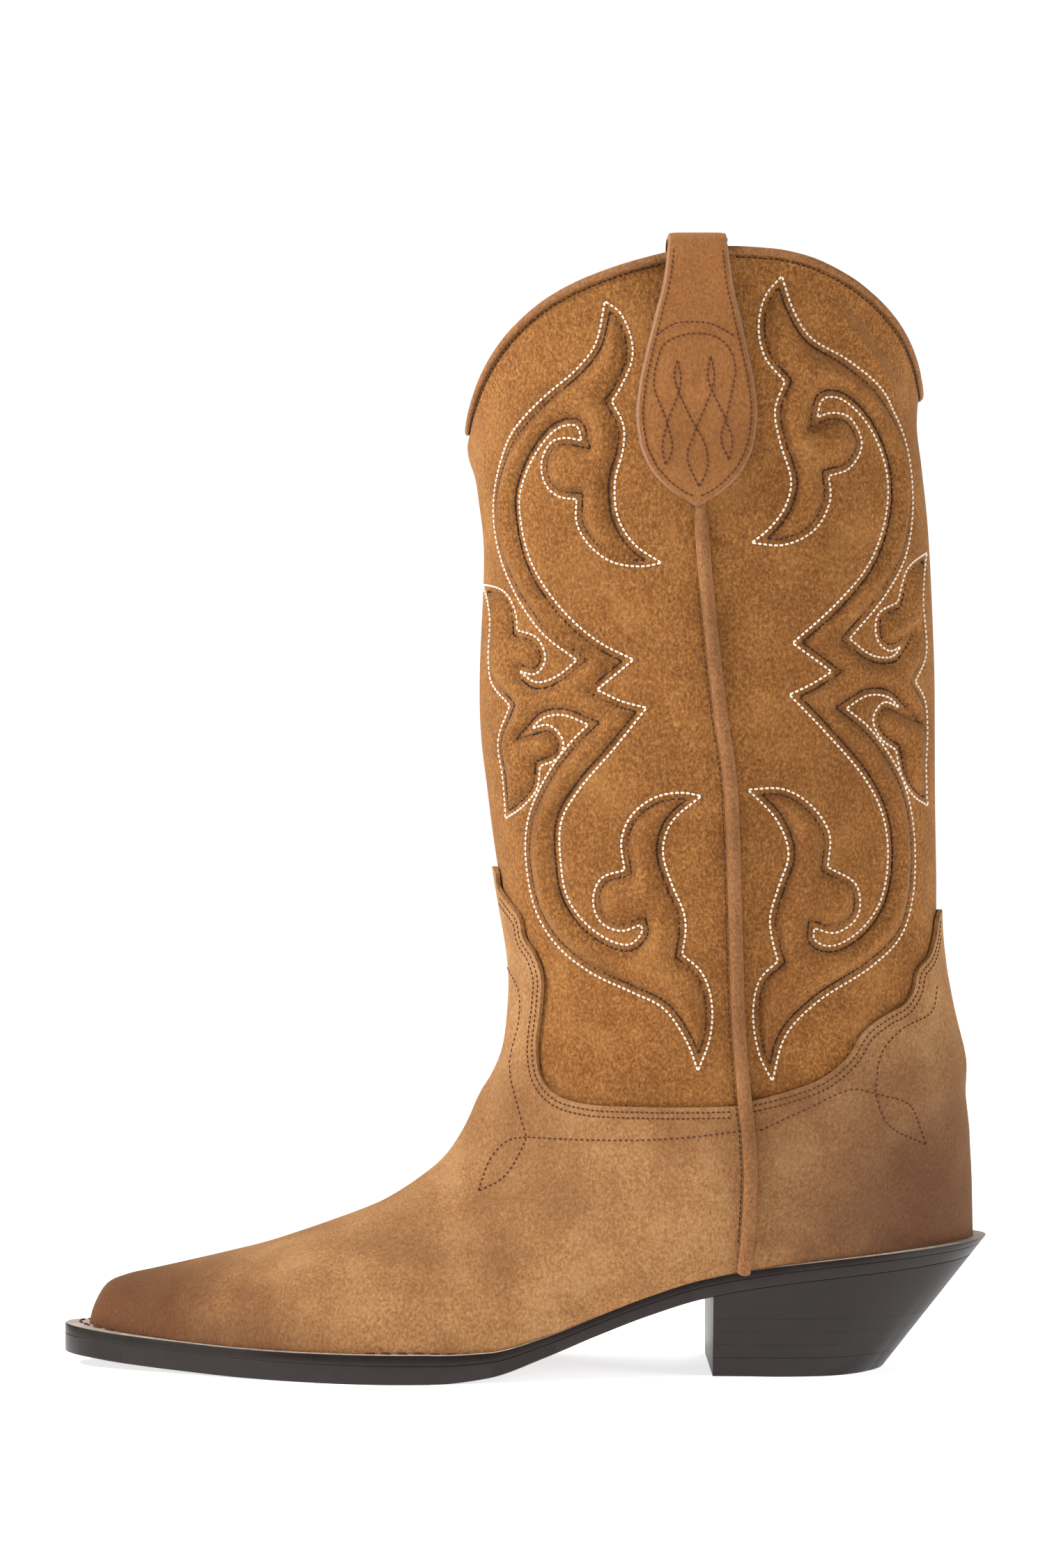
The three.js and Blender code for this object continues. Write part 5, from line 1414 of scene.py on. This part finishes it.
# %% Rolled edge
def topline_places(count, is_front):
    share = np.linspace(0, 1, count)
    share = 1 - share if is_front else share
    near = [(s, -1.0) for s in share]
    far = [(s, 1.0) for s in share[:-1][::-1]]
    both = np.array(near + far)
    return both[:, 0], both[:, 1]


for half, is_front in (("front", True), ("back", False)):
    share, side = topline_places(90, is_front)
    row = topline_row(share, is_front)
    turn = column_turn(row, share, is_front)
    outer = skin(row, turn, side)
    inner = skin(row, turn, side, WALL)
    away = unit((outer - inner) * (1, 1, 0))
    thick = np.linalg.norm((outer - inner) * (1, 1, 0), axis=1)
    way = unit(np.gradient(outer, axis=0))
    up = unit(np.cross(away, way))
    up = np.where(up[:, 2:] < 0, -up, up)
    rings = []
    for k in range(len(outer)):
        t = thick[k]
        profile_ = [(0.35, -1.35), (0.9, -1.45), (1.3, -1.1), (1.5, -0.5), (1.45, 0.1), (1.1, 0.7)]
        profile_ += [(0.5, 1.1), (-0.4, 1.3), (-t / 2, 1.35), (-t + 0.4, 1.3), (-t - 0.5, 1.1)]
        profile_ += [(-t - 1.1, 0.6), (-t - 1.35, -0.4), (-t - 1.3, -2.2), (-t - 0.9, -2.5), (-t - 0.4, -2.4)]
        profile_ += [(-t - 0.4, 0.2), (0.35, 0.2)]
        rings.append([outer[k] + away[k] * a + up[k] * b for a, b in profile_])
    binding = loft(f"rolled_edge_{half}", rings)
    smooth_by(binding, 60)
    finish_piece(binding, [f"topline_binding_{half}"], "trim_suede", TRIM_SUEDE)
    thread = Thread(0.22, 1.45)
    clear = np.abs(outer[:, 0] - STRAP_X) > 11
    for one in (-1.0, 1.0):
        pick = (side == one) & clear
        line = outer[pick][:, [0, 2]] - (up[pick] * 2.1)[:, [0, 2]]
        if len(line) > 4:
            thread.sew(*on_leather(line, one, 0.0, relief=is_front), 1.7)
    finish_piece(thread.mesh(f"rolled_edge_{half}_stitches"), [], "trim_suede", BROWN_THREAD)

# %% [markdown]
# ## Pull straps
# Each strap is two suedes back to back, sewn together near their edge. The wide end is sewn flat to the
# shaft. Above the arc of stitches it stands free as a loop and goes over the edge to the inside.

# %% Straps
strap_half = batten(STRAP_OUTLINE)
STRAP_TOP = float(topline_at(STRAP_X))
STRAP_PATH = Bow([
    (1.5, -76.1), (1.5, -57.0), (1.5, -40.0), (1.8, -31.0), (3.1, -22.0), (6.0, -13.5), (7.6, -6.0),
    (6.2, 0.4), (3.2, 3.4), (-1.6, 4.6), (-8.4, 2.4), (-9.6, -2.0), (-9.6, -6.0), (-7.6, -13.0),
    (-7.4, -20.0), (-7.4, -52.0),
])
inside_half = batten([(-52, 5), (-49, 9), (-40, 10.4), (0, 9.2)])


def strap_point(x_off, n, z, side):
    """A point at a distance out from the shaft's wall."""
    at, _ = wall(STRAP_X + x_off, np.minimum(z, STRAP_TOP - 1), side)
    return np.stack([STRAP_X + x_off, at[..., 1] + side * n, z], axis=-1)


share = np.linspace(0, 15, 181)
path = STRAP_PATH.point(share)
path_way = STRAP_PATH.along(share)
for side, word in ((-1.0, "left"), (1.0, "right")):
    rings = []
    for (n, up_), (wn, wup) in zip(path, path_way):
        z = STRAP_TOP + up_
        half = float(strap_half(z)) if n > 0 else float(inside_half(up_))
        offs = np.linspace(-1, 1, 13)
        bulge = 0.95 + 0.25 * np.sqrt(np.maximum(1 - np.abs(offs) ** 8, 0.0))
        outer = strap_point(offs * max(half - 0.75, 0.3), n + bulge * wup, z - bulge * wn, side)
        inner = strap_point(offs[::-1] * half, n - bulge * wup, z + bulge * wn, side)
        rings.append(np.vstack([outer, inner]))
    strap = loft(f"strap_{word}", rings)
    strap.data.materials.clear()
    strap.data.materials.append(STRAP_SUEDE)
    strap.data.materials.append(CUT_EDGE)
    smooth_by(strap, 40)
    edge_faces = 0
    for face in strap.data.polygons:
        if abs(face.normal.x) > 0.5:
            face.material_index = 1
            edge_faces += 1
    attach(strap, "root")
    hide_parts(f"pull_strap_{word}")
    print(strap.name, len(strap.data.polygons), "faces,", edge_faces, "on the cut edge")

# %% Rows on the straps: distance from the strap's middle line, height
STRAP_ROWS = [
    [(-12.5, 315), (-7, 318.5), (-2, 319), (4, 318.5), (11, 315)],
    [(-12.5, 306), (-10, 312.5), (-2.5, 315.5), (6, 314.5), (10.5, 309.5), (11.5, 304)],
    [(-12.5, 306), (-13, 300), (-9, 289), (-7.5, 281), (-9.5, 276.5)],
    [(-6, 308), (-7, 303), (-3, 292.5), (2.5, 282), (3, 275.5), (0.5, 270)],
    [(-6, 308), (-5, 301), (-9, 289), (-10.5, 282), (-9.5, 276.5)],
    [(4, 309), (3, 303), (8.5, 290), (10.5, 283.5), (9.5, 278)],
    [(4, 309), (5, 302), (-0.5, 287), (-3, 279), (0.5, 270)],
    [(11.5, 304), (8.5, 290), (7, 284.5), (9.5, 278)],
]

path_up = path[:, 1] + STRAP_TOP
outer_part = share < 8.0


def strap_surface(line, side):
    """Points and normals on the strap's outer face."""
    n = np.interp(line[:, 1], path_up[outer_part], path[outer_part, 0])
    wn = np.interp(line[:, 1], path_up[outer_part], path_way[outer_part, 0])
    wup = np.interp(line[:, 1], path_up[outer_part], path_way[outer_part, 1])
    at = strap_point(line[:, 0], n + 1.2 * wup, line[:, 1], side)
    normal = np.stack([np.zeros(len(at)), side * wup, -wn], axis=1)
    return at, unit(normal)


for side, word in ((-1.0, "left"), (1.0, "right")):
    thread = Thread(0.24, 1.3)
    for run in STRAP_ROWS:
        thread.sew(*strap_surface(smooth_run(run), side), 1.6)
    z = np.linspace(265, 340.5, 160)
    half = strap_half(z)
    slope = np.gradient(half, z)
    stretch = np.sqrt(1 + slope**2)
    rim = np.stack([half - 1.9 / stretch, z + 1.9 * slope / stretch], axis=1)
    rim = rim[rim[:, 0] > 0]
    for hand in (-1, 1):
        thread.sew(*strap_surface(rim * (hand, 1), side), 1.6)
    finish_piece(thread.mesh(f"strap_{word}_stitches"), [], "suede", TAN_THREAD)

# %% [markdown]
# ## Welt, outsole and heel
# The welt is a strip sewn round the upper, and the outsole is sewn to it from below. The heel is a stack
# of leather lifts on a wedge, with a rubber lift that meets the ground. All follow the same outline,
# which stands a few millimetres proud of the upper.

# %% Strips and plates that follow the outline
def place_of(x):
    low, high = 0.0, float(TOE)
    for _ in range(40):
        middle = (low + high) / 2
        low, high = (middle, high) if feather(middle)[0] > x else (low, middle)
    return (low + high) / 2


HEEL_PLACE = place_of(HEEL_FRONT)


def outline_point(place, side, out, z, least=0.0):
    x, half = feather(place, out)
    x, half = slanted(x, half, z)
    return np.stack([x, centre_at(x) + side * np.maximum(half, least), z], axis=-1)


def make_strip(name, start, end, thickness_at):
    """The welt or the rand: it goes round one end of the boot."""
    near = np.linspace(start, end, 300)
    places = [(p, -1.0) for p in near] + [(p, 1.0) for p in near[:-1][::-1]]
    rings = []
    for place, side in places:
        slit = 0.0 if place in (0, TOE) else 0.3
        x = float(feather(place)[0])
        out = float(ledge_at(x))
        low, high = float(seat_at(x)) - 0.35, float(seat_at(x) + thickness_at(x))
        corners = [
            (out - 0.15, low), (out, low + 0.2), (out, high - 0.45), (out - 0.16, high - 0.14),
            (out - 0.5, high), (out - 1.6, high + 0.02), (-0.6, high), (-0.6, low),
        ]
        rings.append([outline_point(place, side, o, z, slit if o < 0 else 0.0) for o, z in corners])
    strip = loft(name, rings)
    smooth_by(strip, 35)
    strip.data.materials.clear()
    strip.data.materials.append(EDGE_PAINT)
    strip.data.materials.append(WELT_TOP)
    for face in strip.data.polygons:
        if face.normal.z > 0.8:
            face.material_index = 1
    return strip


welt = make_strip("welt_strip", HEEL_PLACE - 0.01, TOE, welt_at)
heel_rand = make_strip("heel_rand_strip", HEEL_PLACE + 0.01, 0, welt_at)
for strip, node in ((welt, "welt"), (heel_rand, "heel_rand")):
    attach(strip, "root")
    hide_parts(node)
    print(strip.name, len(strip.data.polygons), "faces")


def make_plate(name, start, end, low_at, high_at, count, sunk=0.35, step=1):
    """A solid plate between two levels, with its edge a little rounded."""
    rings = []
    for place in np.linspace(start, end, count):
        x = float(feather(place)[0])
        out = float(ledge_at(x))
        low, high = float(low_at(x)), float(high_at(x))
        edge = [(out - sunk, low), (out - 0.1, low + sunk * 0.3), (out, low + sunk)]
        edge += [(out, z) for z in np.linspace(low + sunk, high - min(sunk, 0.12), step + 1)[1:]]
        edge += [(out - min(sunk, 0.12), high)]
        left = [outline_point(place, -1.0, o, z) for o, z in edge]
        right = [outline_point(place, 1.0, o, z) for o, z in edge][::-1]
        across = lambda a, b: [a + (b - a) * t for t in np.linspace(0, 1, 9)[1:-1]]
        rings.append(left + across(left[-1], right[0]) + right + across(right[-1], left[0]))
    plate = loft(name, rings)
    smooth_by(plate, 35)
    return plate


outsole = make_plate(
    "outsole_leather", 0, TOE, tread_at, lambda x: tread_at(x) + outsole_at(x) + 0.1, 420, 0.4
)

finish_piece(outsole, ["outsole"], "sole_leather", EDGE_PAINT, OUTSOLE_FACE)
for face in outsole.data.polygons:
    if face.normal.z < -0.8:
        face.material_index = 1

# %% The heel's stack, from the wedge down to the rubber
LEVELS = [("heel_top_piece", 0.0, 6.0)]
LEVELS += [(f"heel_lift_{k + 1}", 6.0 + 4 * k, 10.0 + 4 * k) for k in range(3)]
for node, low, high in LEVELS:
    layer = make_plate(
        f"{node}_layer", 0, HEEL_PLACE, lambda x: low + 0.004, lambda x: high - 0.004, 150,
        0.5 if low == 0 else 0.02, 2,
    )
    finish_piece(layer, [node], "rubber" if low == 0 else "sole_leather", HEEL_PAINT, RUBBER)
    if low == 0:
        for face in layer.data.polygons:
            if face.normal.z < -0.8:
                face.material_index = 1
wedge = make_plate(
    "heel_wedge_layer", 0, HEEL_PLACE, lambda x: 18.004, lambda x: tread_at(x) - 0.06, 150, 0.02, 6
)

finish_piece(wedge, ["heel_wedge"], "sole_leather", HEEL_PAINT)

# %% Welt stitches
welt_thread = Thread(0.42, 3.6, 0.6)
for side in (-1.0, 1.0):
    places = np.linspace(HEEL_PLACE + 0.6, TOE - 0.02, 700)
    x = feather(places)[0]
    out = ledge_at(x) * 0.42
    line = outline_point(places, side, out, seat_at(x) + welt_at(x) + 0.05)
    up = np.tile([0.0, 0.0, 1.0], (len(line), 1))
    welt_thread.sew(line, up, 5.0)
finish_piece(welt_thread.mesh("welt_stitches"), [], "welt_leather", TAN_THREAD)

# %% [markdown]
# ## Inner pieces
# Padding, stiffeners, foot linings, insole, cork, shank and nails keep their plain solids, because they
# are hidden or small. Each gets the finish of its own stuff.

# %% Finishes for the pieces that stay
INNER = {
    "shaft_padding_front": FOAM, "shaft_padding_back": FOAM, "vamp_interlining": FOAM,
    "toe_box": STIFFENER, "heel_counter_stiffener": STIFFENER, "vamp_lining": PIGSKIN,
    "counter_lining": PIGSKIN, "insole": BOARD, "sock_lining": PIGSKIN, "cork_filler": CORK,
    "shank": STEEL,
}
for number in range(1, 6):
    INNER[f"heel_nail_{number}"] = STEEL
for number in range(1, 5):
    INNER[f"top_piece_nail_{number}"] = BRASS
for node, material in INNER.items():
    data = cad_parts[node].data
    data.materials.clear()
    data.materials.append(material)
print("finishes on", len(INNER), "inner pieces")

# %% [markdown]
# ## Studio
# A flat pale floor, one large soft light from above on the left, a second from the right, one from
# behind, and a bright sky all round keep the shadows soft, as for a catalogue.

# %% Floor, light and camera
bpy.ops.object.select_all(action="DESELECT")
bpy.ops.mesh.primitive_plane_add(size=14, location=(0, 2, 0))
floor = bpy.context.object
floor.name = "studio_floor"
floor_finish, nodes, links, shader = new_material("studio floor")
shader.inputs["Base Color"].default_value = (0.9, 0.9, 0.9, 1)
shader.inputs["Roughness"].default_value = 0.9
shader.inputs["Emission Color"].default_value = (1, 1, 1, 1)
shader.inputs["Emission Strength"].default_value = 0.74
floor.data.materials.append(floor_finish)

world = bpy.data.worlds.new("studio")
world.use_nodes = True
sky = world.node_tree.nodes["Background"]
sky.inputs["Color"].default_value = (1, 1, 1, 1)
rays = world.node_tree.nodes.new("ShaderNodeLightPath")
seen = add_node(world.node_tree.nodes, "ShaderNodeMapRange")
seen.inputs["To Min"].default_value = 0.3
seen.inputs["To Max"].default_value = 1.05
world.node_tree.links.new(rays.outputs["Is Camera Ray"], seen.inputs["Value"])
world.node_tree.links.new(seen.outputs["Result"], sky.inputs["Strength"])
bpy.context.scene.world = world


def add_light(name, location, target, size, power):
    data = bpy.data.lights.new(name, "AREA")
    data.shape = "SQUARE"
    data.size = size
    data.energy = power
    light = bpy.data.objects.new(name, data)
    light.location = location
    light.rotation_euler = (Vector(target) - Vector(location)).to_track_quat("-Z", "Y").to_euler()
    bpy.context.scene.collection.objects.link(light)
    return light


add_light("key", (-1.1, -0.42, 1.15), (0, 0, 0.17), 0.4, 31)
add_light("side", (1.3, -0.7, 0.6), (0, 0, 0.15), 0.7, 8)
add_light("back", (0.2, 1.3, 1.1), (0, 0, 0.2), 0.9, 8)

bpy.context.scene.view_settings.view_transform = "Standard"
camera_data = bpy.data.cameras.new("camera")
camera_data.sensor_fit = "VERTICAL"
camera_data.sensor_height = 24
camera_data.lens = 24 * 1300 / 489.4
camera = bpy.data.objects.new("camera", camera_data)
camera.location = (-0.0008, -1.3, 0.1811)
camera.rotation_euler = (math.pi / 2, 0, 0)
bpy.context.scene.collection.objects.link(camera)
bpy.context.scene.camera = camera
